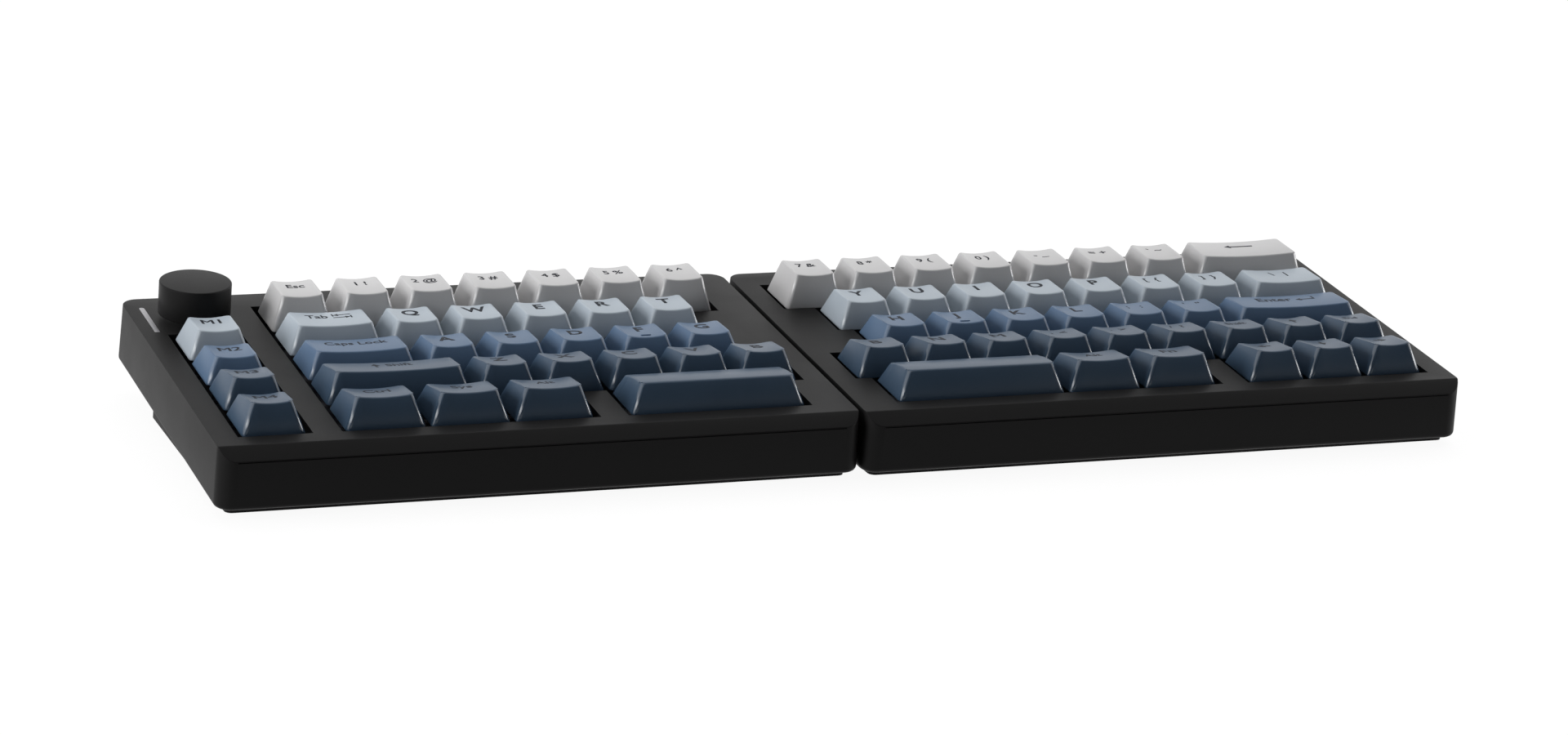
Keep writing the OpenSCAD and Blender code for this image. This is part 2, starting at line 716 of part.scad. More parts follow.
// Encoder shaft with a flat for the knob.
module encoder_shaft() {
    color("#b8babd") on_deck(LEFT) translate([knob_x, knob_y, shaft_z]) difference() {
        union() {
            cylinder(d = shaft_d, h = shaft_top - shaft_z);
            cylinder(d = collar_d, h = collar_t);
        }
        translate([-shaft_d, shaft_d / 2 - shaft_flat, knob_gap - shaft_z])
            cube([2 * shaft_d, shaft_d, shaft_top]);
    }
}

// Knob: a hollow cap with a bevelled rim, and a hub with a flat that fits the shaft.
module knob() {
    r = knob_d / 2;
    inner_z = knob_h - knob_top;
    color("#262628") on_deck(LEFT) translate([knob_x, knob_y, knob_gap]) {
        rotate_extrude($fn = 96) polygon([
            [r - knob_wall, 0], [r, 0], [r, knob_h - knob_edge], [r - knob_edge, knob_h],
            [0, knob_h], [0, inner_z], [r - knob_wall, inner_z]
        ]);
        difference() {
            cylinder(d = hub_d, h = inner_z + knob_edge);
            difference() {
                translate([0, 0, -over]) cylinder(d = shaft_d + 2 * running, h = inner_z + over);
                translate([-shaft_d, shaft_d / 2 - shaft_flat + running, -2 * over])
                    cube([2 * shaft_d, shaft_d, knob_h]);
            }
        }
    }
}

// Pale light bar beside the knob: round at the back, with a foot under the deck.
module light_bar() {
    color("#d9dade") on_deck(LEFT) {
        light_slot(light_w - snug, light_l - snug, -deck_t - light_foot / 2, 0);
        translate([light_x - light_w / 2 - light_lip, light_y - light_lip, -deck_t - light_foot])
            cube([light_w + 2 * light_lip, light_l + 2 * light_lip, light_foot]);
    }
}

// The light bar's outline between two heights.
module light_slot(w, l, z0, z1) {
    translate([light_x, light_y + (light_l - l) / 2, z0]) linear_extrude(z1 - z0) {
        translate([-w / 2, 0]) square([w, l - w / 2]);
        translate([0, l - w / 2]) circle(d = w);
    }
}

top_case(LEFT);  // left_top_case
bottom_case(LEFT);  // left_bottom_case
plate(LEFT);  // left_plate
circuit_board(LEFT);  // left_circuit_board
switch_housings(LEFT);  // left_switch_housings
stabilisers(LEFT);  // left_stabilisers
gaskets(LEFT);  // left_gaskets
feet(LEFT);  // left_feet
screws(LEFT);  // left_screws
usb_socket(LEFT);  // left_usb_socket
light_bar();
encoder_body();
encoder_plunger();
encoder_shaft();
knob();
top_case(RIGHT);  // right_top_case
bottom_case(RIGHT);  // right_bottom_case
plate(RIGHT);  // right_plate
circuit_board(RIGHT);  // right_circuit_board
switch_housings(RIGHT);  // right_switch_housings
stabilisers(RIGHT);  // right_stabilisers
gaskets(RIGHT);  // right_gaskets
feet(RIGHT);  // right_feet
screws(RIGHT);  // right_screws
usb_socket(RIGHT);  // right_usb_socket
for (k = left_keys) key_block(LEFT, k);
for (k = right_keys) key_block(RIGHT, k);
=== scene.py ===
"""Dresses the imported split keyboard: keycaps with legends, cases, knob, light bar and studio.

Pieces are modelled in millimetres on a half's sloped deck, from the front left corner of the half's
first key cell. When a piece is settled, it goes into the shared frame, in metres.
"""
import json
import logging
import math
from dataclasses import dataclass
from enum import Enum
from typing import Any, Callable, Optional, Sequence, Union

import bpy
from mathutils import Matrix, Vector


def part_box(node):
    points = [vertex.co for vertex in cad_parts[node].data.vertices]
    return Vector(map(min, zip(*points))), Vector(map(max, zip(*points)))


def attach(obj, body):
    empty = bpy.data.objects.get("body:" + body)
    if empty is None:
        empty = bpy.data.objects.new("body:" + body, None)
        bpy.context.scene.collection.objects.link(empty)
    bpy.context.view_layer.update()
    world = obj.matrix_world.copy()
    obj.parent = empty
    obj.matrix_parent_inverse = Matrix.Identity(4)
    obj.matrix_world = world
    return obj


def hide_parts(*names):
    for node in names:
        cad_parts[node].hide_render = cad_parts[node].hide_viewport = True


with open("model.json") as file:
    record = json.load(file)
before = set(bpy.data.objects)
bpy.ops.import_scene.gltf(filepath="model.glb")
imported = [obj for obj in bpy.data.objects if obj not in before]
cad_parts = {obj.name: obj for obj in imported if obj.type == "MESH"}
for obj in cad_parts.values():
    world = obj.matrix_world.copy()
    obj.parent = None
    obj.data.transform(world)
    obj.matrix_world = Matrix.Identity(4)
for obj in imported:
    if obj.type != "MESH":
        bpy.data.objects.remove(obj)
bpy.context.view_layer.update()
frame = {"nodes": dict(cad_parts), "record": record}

LOG = logging.getLogger("split_keyboard")
MM = 0.001  # a millimetre in metres
PITCH = 19.05  # from key to key
ROWS = 5  # rows of keys
SKIRT = -0.8  # height of the caps' lower edges over the deck
LONG_KEY = 2  # key widths from which a key has stabilisers
OVER = 1.0  # how far a cutter passes the face that it cuts
SHORT = 0.5  # an edge that goes less far along an axis doesn't run along it
HAIR = 1e-4  # a distance that counts as none
DEPTH_DIGITS = 5  # places kept of depths that are compared
PLACE_DIGITS = 4  # places kept of distances that are compared
DOWN = -0.5  # a face with a lower normal than this points down
AVERAGE = 0.5  # average of a noise
X, Y, Z = range(3)
SIDES = (-1, 1)
WHITE = (1, 1, 1, 1)

Piece = bpy.types.Object
Number = Union[float, "Wire"]
Point = Sequence[float]
VertexTest = Callable[[bpy.types.MeshVertex], bool]
EdgeTest = Callable[[Vector, Vector], bool]


class Half(Enum):
    """The two halves of the keyboard."""

    LEFT = "left"
    RIGHT = "right"

    @property
    def body(self) -> str:
        """Name of the body that the half's case belongs to."""
        return f"{self.value}_half"


class Pick(Enum):
    """What an edit-mode selection holds."""

    VERTS = "VERT"
    EDGES = "EDGE"
    FACES = "FACE"


@dataclass(frozen=True)
class Arrow:
    """An arrow of a sign: its way in degrees, its size, a bar at its tip, length of a bent tail."""

    turn: float
    length: float = 4.2
    y: float = 0.0
    stroke: float = 0.7
    head: float = 1.5
    stop: bool = False
    bend: float = 0.0


class Mark(Enum):
    """Small signs that stand beside or instead of a legend."""

    NONE = ()
    RIGHT = (Arrow(0),)
    UP = (Arrow(90),)
    LEFT = (Arrow(180),)
    DOWN = (Arrow(270),)
    TAB = tuple(Arrow(turn, 5.4, y, 0.42, 0.95, stop=True) for turn, y in ((180, 1.05), (0, -1.05)))
    RETURN = (Arrow(180, 6.4, -0.6, 0.5, 1.2, bend=2.2),)
    BACK = (Arrow(180, 9.5, 0.0, 0.7, 1.3),)

    @property
    def width(self) -> float:
        """Room that the sign takes beside a word."""
        return max(a.length if a.turn in (0, 180) else 2 * a.head for a in self.value)


class Row(Enum):
    """Key rows from the back, each with its caps' form and material slot."""

    NUMBERS = (1, 10.2, 0.5, 1.7, "cap_grey")
    UPPER = (2, 7.8, 2.5, 2.5, "cap_pale_blue")
    HOME = (3, 6.9, 5.5, 2.5, "cap_blue")
    LOWER = (4, 7.6, 10.5, 2.5, "cap_navy")
    FRONT = (5, 7.7, 10.5, 2.5, "cap_navy")

    def __init__(
        self, number: int, height: float, tilt: float, front_lean: float, slot: str
    ) -> None:
        """Names the row's values.

        Args:
            number: Row counted from the back.
            height: Height of the caps over their skirts.
            tilt: Forward rise of the tops, in degrees.
            front_lean: How far the front walls lean back, at that height.
            slot: Material slot of the caps.
        """
        self.number = number
        self.height = height
        self.front_lean = front_lean
        self.slot = slot
        self.rise = math.tan(math.radians(tilt))

    @property
    def middle(self) -> float:
        """Distance from the front of the key grid to the row's middle."""
        return (ROWS - self.number + 0.5) * PITCH


@dataclass(frozen=True)
class Deck:
    """A half's sloped top face: its first key cell's corner in millimetres, and its slope."""

    x: float
    y: float
    z: float
    slope: float = 3.2

    @property
    def turn(self) -> Matrix:
        """The slope as a rotation."""
        return Matrix.Rotation(math.radians(self.slope), 4, "X")

    @property
    def matrix(self) -> Matrix:
        """Takes millimetres on the deck to metres in the shared frame."""
        corner = Vector((self.x, self.y, self.z)) * MM
        return Matrix.Translation(corner) @ self.turn @ Matrix.Scale(MM, 4)


DECKS = {
    Half.LEFT: Deck(-148.892, -48.1464, 19.878),
    Half.RIGHT: Deck(6.017, -49.5464, 19.878),
}


def along(axis: int, behind: float = -math.inf) -> EdgeTest:
    """A test for edges that run along an axis and lie behind a place along y."""
    return lambda a, b: abs(a[axis] - b[axis]) > SHORT and min(a.y, b.y) > behind


def above(height: float) -> EdgeTest:
    """A test for edges that lie over a height."""
    return lambda a, b: min(a.z, b.z) > height


def below(height: float) -> EdgeTest:
    """A test for edges that lie under a height."""
    return lambda a, b: max(a.z, b.z) < height


def clear() -> None:
    """Goes to object mode with nothing selected."""
    active = bpy.context.view_layer.objects.active
    if active is not None and active.mode != "OBJECT":
        bpy.ops.object.mode_set(mode="OBJECT")
    bpy.ops.object.select_all(action="DESELECT")


def hold(*pieces: Piece) -> None:
    """Selects these pieces alone and makes the first one active."""
    clear()
    for piece in pieces:
        piece.select_set(True)
    bpy.context.view_layer.objects.active = pieces[0]


def fix(piece: Optional[Piece] = None) -> Piece:
    """Puts a piece's place, turn and scale into its mesh.

    Args:
        piece: The piece; by default the one that was just added.

    Returns:
        The piece.
    """
    piece = piece or bpy.context.object
    hold(piece)
    bpy.ops.object.transform_apply(location=True, rotation=True, scale=True)
    return piece


def block(low: Point, high: Point) -> Piece:
    """Adds a box.

    Args:
        low: Its lowest corner.
        high: Its highest corner.

    Returns:
        The box.
    """
    clear()
    middle = [(a + b) / 2 for a, b in zip(low, high)]
    size = [b - a for a, b in zip(low, high)]
    bpy.ops.mesh.primitive_cube_add(size=1, location=middle, scale=size)
    return fix()


def drum(centre: Point, radius: float, low: float, high: float, sides: int) -> Piece:
    """Adds an upright cylinder.

    Args:
        centre: Its axis, as x and y.
        radius: Its radius.
        low: Height of its foot.
        high: Height of its top.
        sides: Number of side faces.

    Returns:
        The cylinder.
    """
    clear()
    middle = (*centre, (low + high) / 2)
    bpy.ops.mesh.primitive_cylinder_add(
        vertices=sides, radius=radius, depth=high - low, location=middle
    )
    return fix()


def sheet(low: Point, high: Point) -> Piece:
    """Adds a flat rectangle.

    Args:
        low: Its lower left corner, as x and y.
        high: Its upper right corner.

    Returns:
        The rectangle.
    """
    clear()
    middle = ((low[X] + high[X]) / 2, (low[Y] + high[Y]) / 2, 0)
    bpy.ops.mesh.primitive_plane_add(size=1, location=middle)
    bpy.context.object.scale = (high[X] - low[X], high[Y] - low[Y], 1)
    return fix()


def wedge(tip: float, radius: float) -> Piece:
    """Adds a flat triangle that points along x.

    Args:
        tip: Place of its tip.
        radius: Distance from its tip to its middle.

    Returns:
        The triangle.
    """
    clear()
    bpy.ops.mesh.primitive_circle_add(
        vertices=3, radius=radius, fill_type="NGON",
        location=(tip - radius, 0, 0), rotation=(0, 0, -math.pi / 2),
    )
    return fix()


def pick(piece: Piece, kind: Pick, test: Callable[[Any], bool]) -> None:
    """Opens a piece in edit mode with some of it selected.

    Args:
        piece: The piece to edit.
        kind: Whether vertices, edges or faces are tested.
        test: Says which of them are selected.
    """
    hold(piece)
    bpy.ops.object.mode_set(mode="EDIT")
    bpy.ops.mesh.select_mode(type=kind.value)
    bpy.ops.mesh.select_all(action="DESELECT")
    bpy.ops.object.mode_set(mode="OBJECT")
    mesh = piece.data
    parts = {Pick.VERTS: mesh.vertices, Pick.EDGES: mesh.edges, Pick.FACES: mesh.polygons}
    for part in parts[kind]:
        part.select = bool(test(part))
    bpy.ops.object.mode_set(mode="EDIT")


def shift(piece: Piece, by: Point, test: VertexTest = lambda v: True) -> None:
    """Moves vertices of a piece.

    Args:
        piece: The piece to edit.
        by: How far they move.
        test: Says which of them move; by default all.
    """
    pick(piece, Pick.VERTS, test)
    bpy.ops.transform.translate(value=by)
    clear()


def round_edges(
    piece: Piece, test: EdgeTest, radius: float, steps: int, material: int = -1
) -> None:
    """Bevels the edges whose ends pass a test.

    Args:
        piece: The piece to edit.
        test: Takes an edge's two ends.
        radius: Radius of the rounding.
        steps: Number of faces across it.
        material: Number of the material on it; -1 keeps that of the faces beside it.
    """
    places = piece.data.vertices
    pick(piece, Pick.EDGES, lambda e: test(*(places[i].co for i in e.vertices)))
    bpy.ops.mesh.bevel(
        offset=radius, segments=steps, affect="EDGES", clamp_overlap=False, material=material
    )
    clear()


def modify(piece: Piece, kind: str, **settings: Any) -> None:
    """Adds a modifier, sets it and applies it.

    Args:
        piece: The piece to change.
        kind: Type of the modifier.
        **settings: Its settings.
    """
    hold(piece)
    modifier = piece.modifiers.new(kind.lower(), kind)
    for name, value in settings.items():
        setattr(modifier, name, value)
    bpy.ops.object.modifier_apply(modifier=modifier.name)


def cut(piece: Piece, *cutters: Piece, join: bool = False) -> None:
    """Takes other pieces off a piece, or adds them to it, and deletes them.

    Args:
        piece: The piece to change.
        *cutters: The other pieces.
        join: Adds them instead.
    """
    way = "UNION" if join else "DIFFERENCE"
    for cutter in cutters:
        modify(piece, "BOOLEAN", operation=way, object=cutter, solver="EXACT")
        bpy.data.objects.remove(cutter)


def weld(piece: Piece) -> None:
    """Merges the doubles that cuts leave behind and drops faces without area."""
    pick(piece, Pick.VERTS, lambda v: True)
    bpy.ops.mesh.remove_doubles(threshold=HAIR)
    bpy.ops.mesh.dissolve_degenerate(threshold=HAIR)
    clear()


def copy(piece: Piece) -> Piece:
    """A copy of a piece with a mesh of its own."""
    twin = piece.copy()
    twin.data = piece.data.copy()
    bpy.context.scene.collection.objects.link(twin)
    return twin


def join(pieces: Sequence[Piece]) -> Piece:
    """Joins pieces into the first one."""
    hold(*pieces)
    if len(pieces) > 1:
        bpy.ops.object.join()
    return bpy.context.view_layer.objects.active


def paint(piece: Piece, *slots: str) -> None:
    """Gives a piece the materials of some slots; all faces get the first one."""
    piece.data.materials.clear()
    for slot in slots:
        piece.data.materials.append(Paintbox.get(slot))


def smooth(piece: Piece, angle: float) -> None:
    """Shades a piece smoothly across edges flatter than an angle in degrees."""
    hold(piece)
    bpy.ops.object.shade_smooth_by_angle(angle=math.radians(angle))


def settle(piece: Piece, half: Half, name: str, body: str, slot: str, node: str) -> Piece:
    """Puts a finished piece into the shared frame, in place of a CAD node.

    Args:
        piece: The piece, on its half's deck.
        half: The half that it belongs to.
        name: Its name.
        body: The body that it rides on.
        slot: The record's material slot; not used.
        node: The CAD node that it stands for.

    Returns:
        The piece.
    """
    piece.matrix_world = DECKS[half].matrix
    fix(piece)
    piece.name = name
    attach(piece, body)
    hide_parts(node)
    LOG.info("%s: %d faces on %s", name, len(piece.data.polygons), body)
    return piece


class Wire:
    """A value between shader nodes. Arithmetic on it adds Math nodes."""

    def __init__(self, graph: "Graph", socket: Optional[bpy.types.NodeSocket]) -> None:
        """Wraps an output socket of a graph's node."""
        self.graph = graph
        self.socket = socket

    def _math(self, operation: str, first: Number, second: Number) -> "Wire":
        """Adds a Math node."""
        return self.graph.node("ShaderNodeMath", {"operation": operation}, {0: first, 1: second})

    def __add__(self, other: Number) -> "Wire":
        """Sum."""
        return self._math("ADD", self, other)

    def __sub__(self, other: Number) -> "Wire":
        """Difference."""
        return self._math("SUBTRACT", self, other)

    def __rsub__(self, other: Number) -> "Wire":
        """Difference, from the right."""
        return self._math("SUBTRACT", other, self)

    def __mul__(self, other: Number) -> "Wire":
        """Product."""
        return self._math("MULTIPLY", self, other)

    __radd__ = __add__
    __rmul__ = __mul__


class Graph:
    """The node tree of a material or of the world."""

    def __init__(self, owner: Union[bpy.types.Material, bpy.types.World]) -> None:
        """Empties an owner's node tree."""
        owner.use_nodes = True
        self.tree = owner.node_tree
        self.tree.nodes.clear()

    def node(
        self, kind: str, settings: Optional[dict] = None, inputs: Optional[dict] = None,
        output: Union[int, str] = 0,
    ) -> Wire:
        """Adds a node.

        Args:
            kind: The node's type.
            settings: Its properties, which are set first.
            inputs: Values or wires for its input sockets, by name or number.
            output: The output socket that is wanted, by name or number.

        Returns:
            That output; a node that ends the tree has none.
        """
        made = self.tree.nodes.new(kind)
        for name, value in (settings or {}).items():
            setattr(made, name, value)
        for name, value in (inputs or {}).items():
            if isinstance(value, Wire):
                self.tree.links.new(value.socket, made.inputs[name])
            else:
                made.inputs[name].default_value = value
        return Wire(self, made.outputs[output] if len(made.outputs) else None)

    def mix(self, factor: Number, first: Any, second: Any) -> Wire:
        """Blends two colours.

        Args:
            factor: Share of the second one.
            first: A colour or a wire.
            second: A colour or a wire.

        Returns:
            The blended colour.
        """
        colours = {0: factor, 6: first, 7: second}
        return self.node("ShaderNodeMix", {"data_type": "RGBA"}, colours, output=2)

    def noise(self, scale: float, detail: float = 2.0, stretch: Point = (1, 1, 1)) -> Wire:
        """Noise on the piece's own coordinates.

        Args:
            scale: Features in a metre.
            detail: Number of finer layers.
            stretch: Scale along each axis.

        Returns:
            The noise.
        """
        place = self.node("ShaderNodeTexCoord", output="Object")
        place = self.node("ShaderNodeMapping", {}, {"Vector": place, "Scale": stretch})
        inputs = {"Vector": place, "Scale": scale, "Detail": detail}
        return self.node("ShaderNodeTexNoise", {}, inputs, "Fac")

    def bump(self, height: Wire, strength: float, depth: float) -> Wire:
        """A relief from a height, with a depth in metres."""
        inputs = {"Strength": strength, "Distance": depth, "Height": height}
        return self.node("ShaderNodeBump", {}, inputs)

    def surface(self, **inputs: Any) -> None:
        """Ends the tree in a Principled shader; input names have _ for spaces."""
        named = {name.replace("_", " "): value for name, value in inputs.items()}
        shader = self.node("ShaderNodeBsdfPrincipled", {}, named)
        self.node("ShaderNodeOutputMaterial", {}, {"Surface": shader})


@dataclass(frozen=True)
class Finish:
    """A surface of the object or of the studio."""

    name: str
    colour: tuple[float, float, float]

    def material(self) -> bpy.types.Material:
        """Makes the material."""
        made = bpy.data.materials.new(self.name)
        self.lay(Graph(made))
        return made

    def lay(self, graph: Graph) -> None:
        """Adds the finish's nodes to an empty tree."""
        raise NotImplementedError

    def tone(self, factor: float = 1.0) -> tuple[float, ...]:
        """The colour times a factor, with alpha."""
        return (*(part * factor for part in self.colour), 1.0)


@dataclass(frozen=True)
class MouldedPlastic(Finish):
    """Moulded plastic with a fine sparked texture and slight unevenness of tone."""

    roughness: float
    gloss: float
    grain: float = 5200.0
    depth: float = 25e-6
    bump: float = 0.5
    cloud: float = 90.0
    detail: float = 3.0
    uneven: float = 0.06
    speck: float = 0.12
    speck_tone: float = 1.25
    grain_dull: float = 0.1
    cloud_dull: float = 0.08

    def lay(self, graph: Graph) -> None:
        """Lays the texture over the uneven tone."""
        grain = graph.noise(self.grain, self.detail)
        cloud = graph.noise(self.cloud, self.detail)
        tone = graph.mix(cloud, self.tone(1 - self.uneven), self.tone(1 + self.uneven))
        dull = self.roughness + self.grain_dull * (grain - AVERAGE)
        graph.surface(
            Base_Color=graph.mix(grain * self.speck, tone, self.tone(self.speck_tone)),
            Roughness=dull + self.cloud_dull * (cloud - AVERAGE),
            Specular_IOR_Level=self.gloss,
            Normal=graph.bump(grain, self.bump, self.depth),
        )


@dataclass(frozen=True)
class BrushedMetal(Finish):
    """Metal with fine parallel scratches."""

    roughness: float
    scratches: float = 900.0
    detail: float = 4.0
    stretch: tuple[float, float, float] = (1, 12, 12)
    dark: float = 0.85
    pale: float = 1.1
    bump: float = 0.2
    depth: float = 10e-6
    dull: float = 0.15

    def lay(self, graph: Graph) -> None:
        """Lays the scratches."""
        scratch = graph.noise(self.scratches, self.detail, self.stretch)
        graph.surface(
            Base_Color=graph.mix(scratch, self.tone(self.dark), self.tone(self.pale)),
            Metallic=1.0,
            Roughness=self.roughness + self.dull * (scratch - AVERAGE),
            Normal=graph.bump(scratch, self.bump, self.depth),
        )


@dataclass(frozen=True)
class BoardLacquer(Finish):
    """Lacquered circuit board with faint conductor paths under the lacquer."""

    roughness: float = 0.32
    gloss: float = 0.5
    cells: float = 160.0
    offset: float = 0.35
    path: float = 0.06
    path_share: float = 0.6
    path_tone: float = 1.8
    cloud: float = 400.0
    dull: float = 0.1

    def lay(self, graph: Graph) -> None:
        """Lays the paths and the lacquer."""
        black = (0, 0, 0, 1)
        place = graph.node("ShaderNodeTexCoord", output="Object")
        sizes = {"Vector": place, "Scale": self.cells, "Mortar Size": self.path}
        colours = {"Color1": black, "Color2": black, "Mortar": WHITE}
        paths = graph.node("ShaderNodeTexBrick", {"offset": self.offset}, sizes | colours, "Fac")
        graph.surface(
            Base_Color=graph.mix(paths * self.path_share, self.tone(), self.tone(self.path_tone)),
            Roughness=self.roughness + self.dull * graph.noise(self.cloud),
            Specular_IOR_Level=self.gloss,
        )


@dataclass(frozen=True)
class LightGuide(Finish):
    """Milky, slightly cloudy plastic of the light bar."""

    roughness: float = 0.34
    gloss: float = 0.4
    cloud: float = 700.0
    detail: float = 3.0
    uneven: float = 0.08
    dull: float = 0.08

    def lay(self, graph: Graph) -> None:
        """Lays the clouds."""
        cloud = graph.noise(self.cloud, self.detail)
        graph.surface(
            Base_Color=graph.mix(cloud, self.tone(1 - self.uneven), self.tone(1 + self.uneven)),
            Roughness=self.roughness + self.dull * cloud,
            Specular_IOR_Level=self.gloss,
        )


@dataclass(frozen=True)
class FlagCloth(Finish):
    """Black cloth of the studio's flag."""

    roughness: float = 0.9
    weave: float = 300.0
    pale: float = 2.0

    def lay(self, graph: Graph) -> None:
        """Lays the weave."""
        tone = graph.mix(graph.noise(self.weave), self.tone(), self.tone(self.pale))
        graph.surface(Base_Color=tone, Roughness=self.roughness)


@dataclass(frozen=True)
class FloorPaint(Finish):
    """Floor paint that looks white and keeps a soft shadow."""

    glow: float = 0.93

    def lay(self, graph: Graph) -> None:
        """Lays the paint, which glows only where the background is seen."""
        plain = graph.node("ShaderNodeBsdfDiffuse", {}, {"Color": self.tone()})
        glow = graph.node("ShaderNodeEmission", {}, {"Color": WHITE, "Strength": self.glow})
        bright = graph.node("ShaderNodeAddShader", {}, {0: plain, 1: glow})
        seen = Studio.seen(graph)
        mixed = graph.node("ShaderNodeMixShader", {}, {0: seen, 1: plain, 2: bright})
        graph.node("ShaderNodeOutputMaterial", {}, {"Surface": mixed})


BLACK = (0.009, 0.0088, 0.009)
SOOT = (0.02, 0.02, 0.02)
FINISHES = {
    "case": MouldedPlastic("case_black", BLACK, 0.46, 0.1, 4200.0, 20e-6),
    "base": MouldedPlastic("base_black", BLACK, 0.5, 0.1, 4200.0, 20e-6),
    "plate": BrushedMetal("plate_aluminium", (0.25, 0.25, 0.27), 0.42),
    "board": BoardLacquer("board_lacquer", (0.03, 0.09, 0.05)),
    "switch": MouldedPlastic("switch_plastic", (0.03, 0.03, 0.033), 0.4, 0.45, 2600.0, 10e-6),
    "gasket": MouldedPlastic("gasket_foam", SOOT, 0.8, 0.2, 3000.0, 80e-6),
    "foot": MouldedPlastic("foot_rubber", SOOT, 0.75, 0.25, 2400.0, 40e-6),
    "screw": BrushedMetal("screw_zinc", (0.3, 0.3, 0.32), 0.38),
    "socket": BrushedMetal("socket_steel", (0.55, 0.55, 0.56), 0.3),
    "light": LightGuide("light_guide", (0.28, 0.276, 0.29)),
    "knob": MouldedPlastic("knob_black", BLACK, 0.44, 0.1, 4200.0, 20e-6),
    "ink": MouldedPlastic("legend_ink", (0.012, 0.015, 0.022), 0.6, 0.15),
    "floor": FloorPaint("floor_white", (0.08, 0.08, 0.08)),
    "flag": FlagCloth("flag_black", (0.01, 0.01, 0.01)),
}
for slot, colour, gloss in (
    ("cap_grey", (0.5, 0.496, 0.5), 0.14),
    ("cap_pale_blue", (0.357, 0.404, 0.451), 0.14),
    ("cap_blue", (0.083, 0.134, 0.215), 0.2),
    ("cap_navy", (0.04, 0.068, 0.108), 0.3),
):
    # The round upright edges of a cap are smoother than its faces and catch the light.
    edge = f"{slot}_edge"
    FINISHES[slot] = MouldedPlastic(slot, colour, 0.36, gloss)
    FINISHES[edge] = MouldedPlastic(edge, colour, 0.17, 1.0, depth=1e-6)


class Paintbox:
    """Makes each finish's material once."""

    made: dict[str, bpy.types.Material] = {}

    @classmethod
    def get(cls, slot: str) -> bpy.types.Material:
        """The material of a slot."""
        if slot not in cls.made:
            cls.made[slot] = FINISHES[slot].material()
        return cls.made[slot]


@dataclass(frozen=True)
class Key:
    """One key: left edge and width in key widths, legend, sign, letter size, homing bar."""

    left: float
    width: float
    legend: str = ""
    mark: Mark = Mark.NONE
    letters: float = 1.0
    homing: bool = False

    @property
    def middle(self) -> float:
        """Distance from the half's first key cell to the key's middle."""
        return (self.left + self.width / 2) * PITCH


def key_run(left: float, legends: Sequence[str], homing: str = "") -> tuple[Key, ...]:
    """A run of keys of single width.

    Args:
        left: Left edge of the first one, in key widths.
        legends: Their legends.
        homing: Legend of the key with a homing bar.

    Returns:
        The keys.
    """
    return tuple(Key(left + i, 1, text, homing=text == homing) for i, text in enumerate(legends))


@dataclass(frozen=True)
class Stem:
    """The post under a cap and the slider that it sits on, joined by a cross."""

    top: float = -0.6
    radius: float = 2.7
    gap: float = 0.1
    length: float = 4.0
    width: float = 1.2
    height: float = 3.4
    play: float = 0.2

    def cross(self, play: float, low: float, high: float) -> list[Piece]:
        """The two bars of the cross between two heights, grown by some play."""
        length, width = (self.length + play) / 2, (self.width + play) / 2
        sides = ((length, width), (width, length))
        return [block((-x, -y, low), (x, y, high)) for x, y in sides]

    def build(self, ceiling: float, slider: Point, slot: str) -> Piece:
        """Builds a post and its slider.

        Args:
            ceiling: Height at which the post goes into the cap.
            slider: The slider's width and depth, and the height of its lower end.
            slot: Material slot of the cap.

        Returns:
            Both, as one piece.
        """
        foot, (width, depth, end) = self.top + self.gap, slider
        post = drum((0, 0), self.radius, foot, ceiling, sides=32)
        cut(post, *self.cross(self.play, foot - OVER, foot + self.height))
        rod = block((-width / 2, -depth / 2, end), (width / 2, depth / 2, self.top))
        cut(rod, *self.cross(0, self.top - OVER, self.top + self.height), join=True)
        paint(post, slot)
        paint(rod, "switch")
        return join([post, rod])


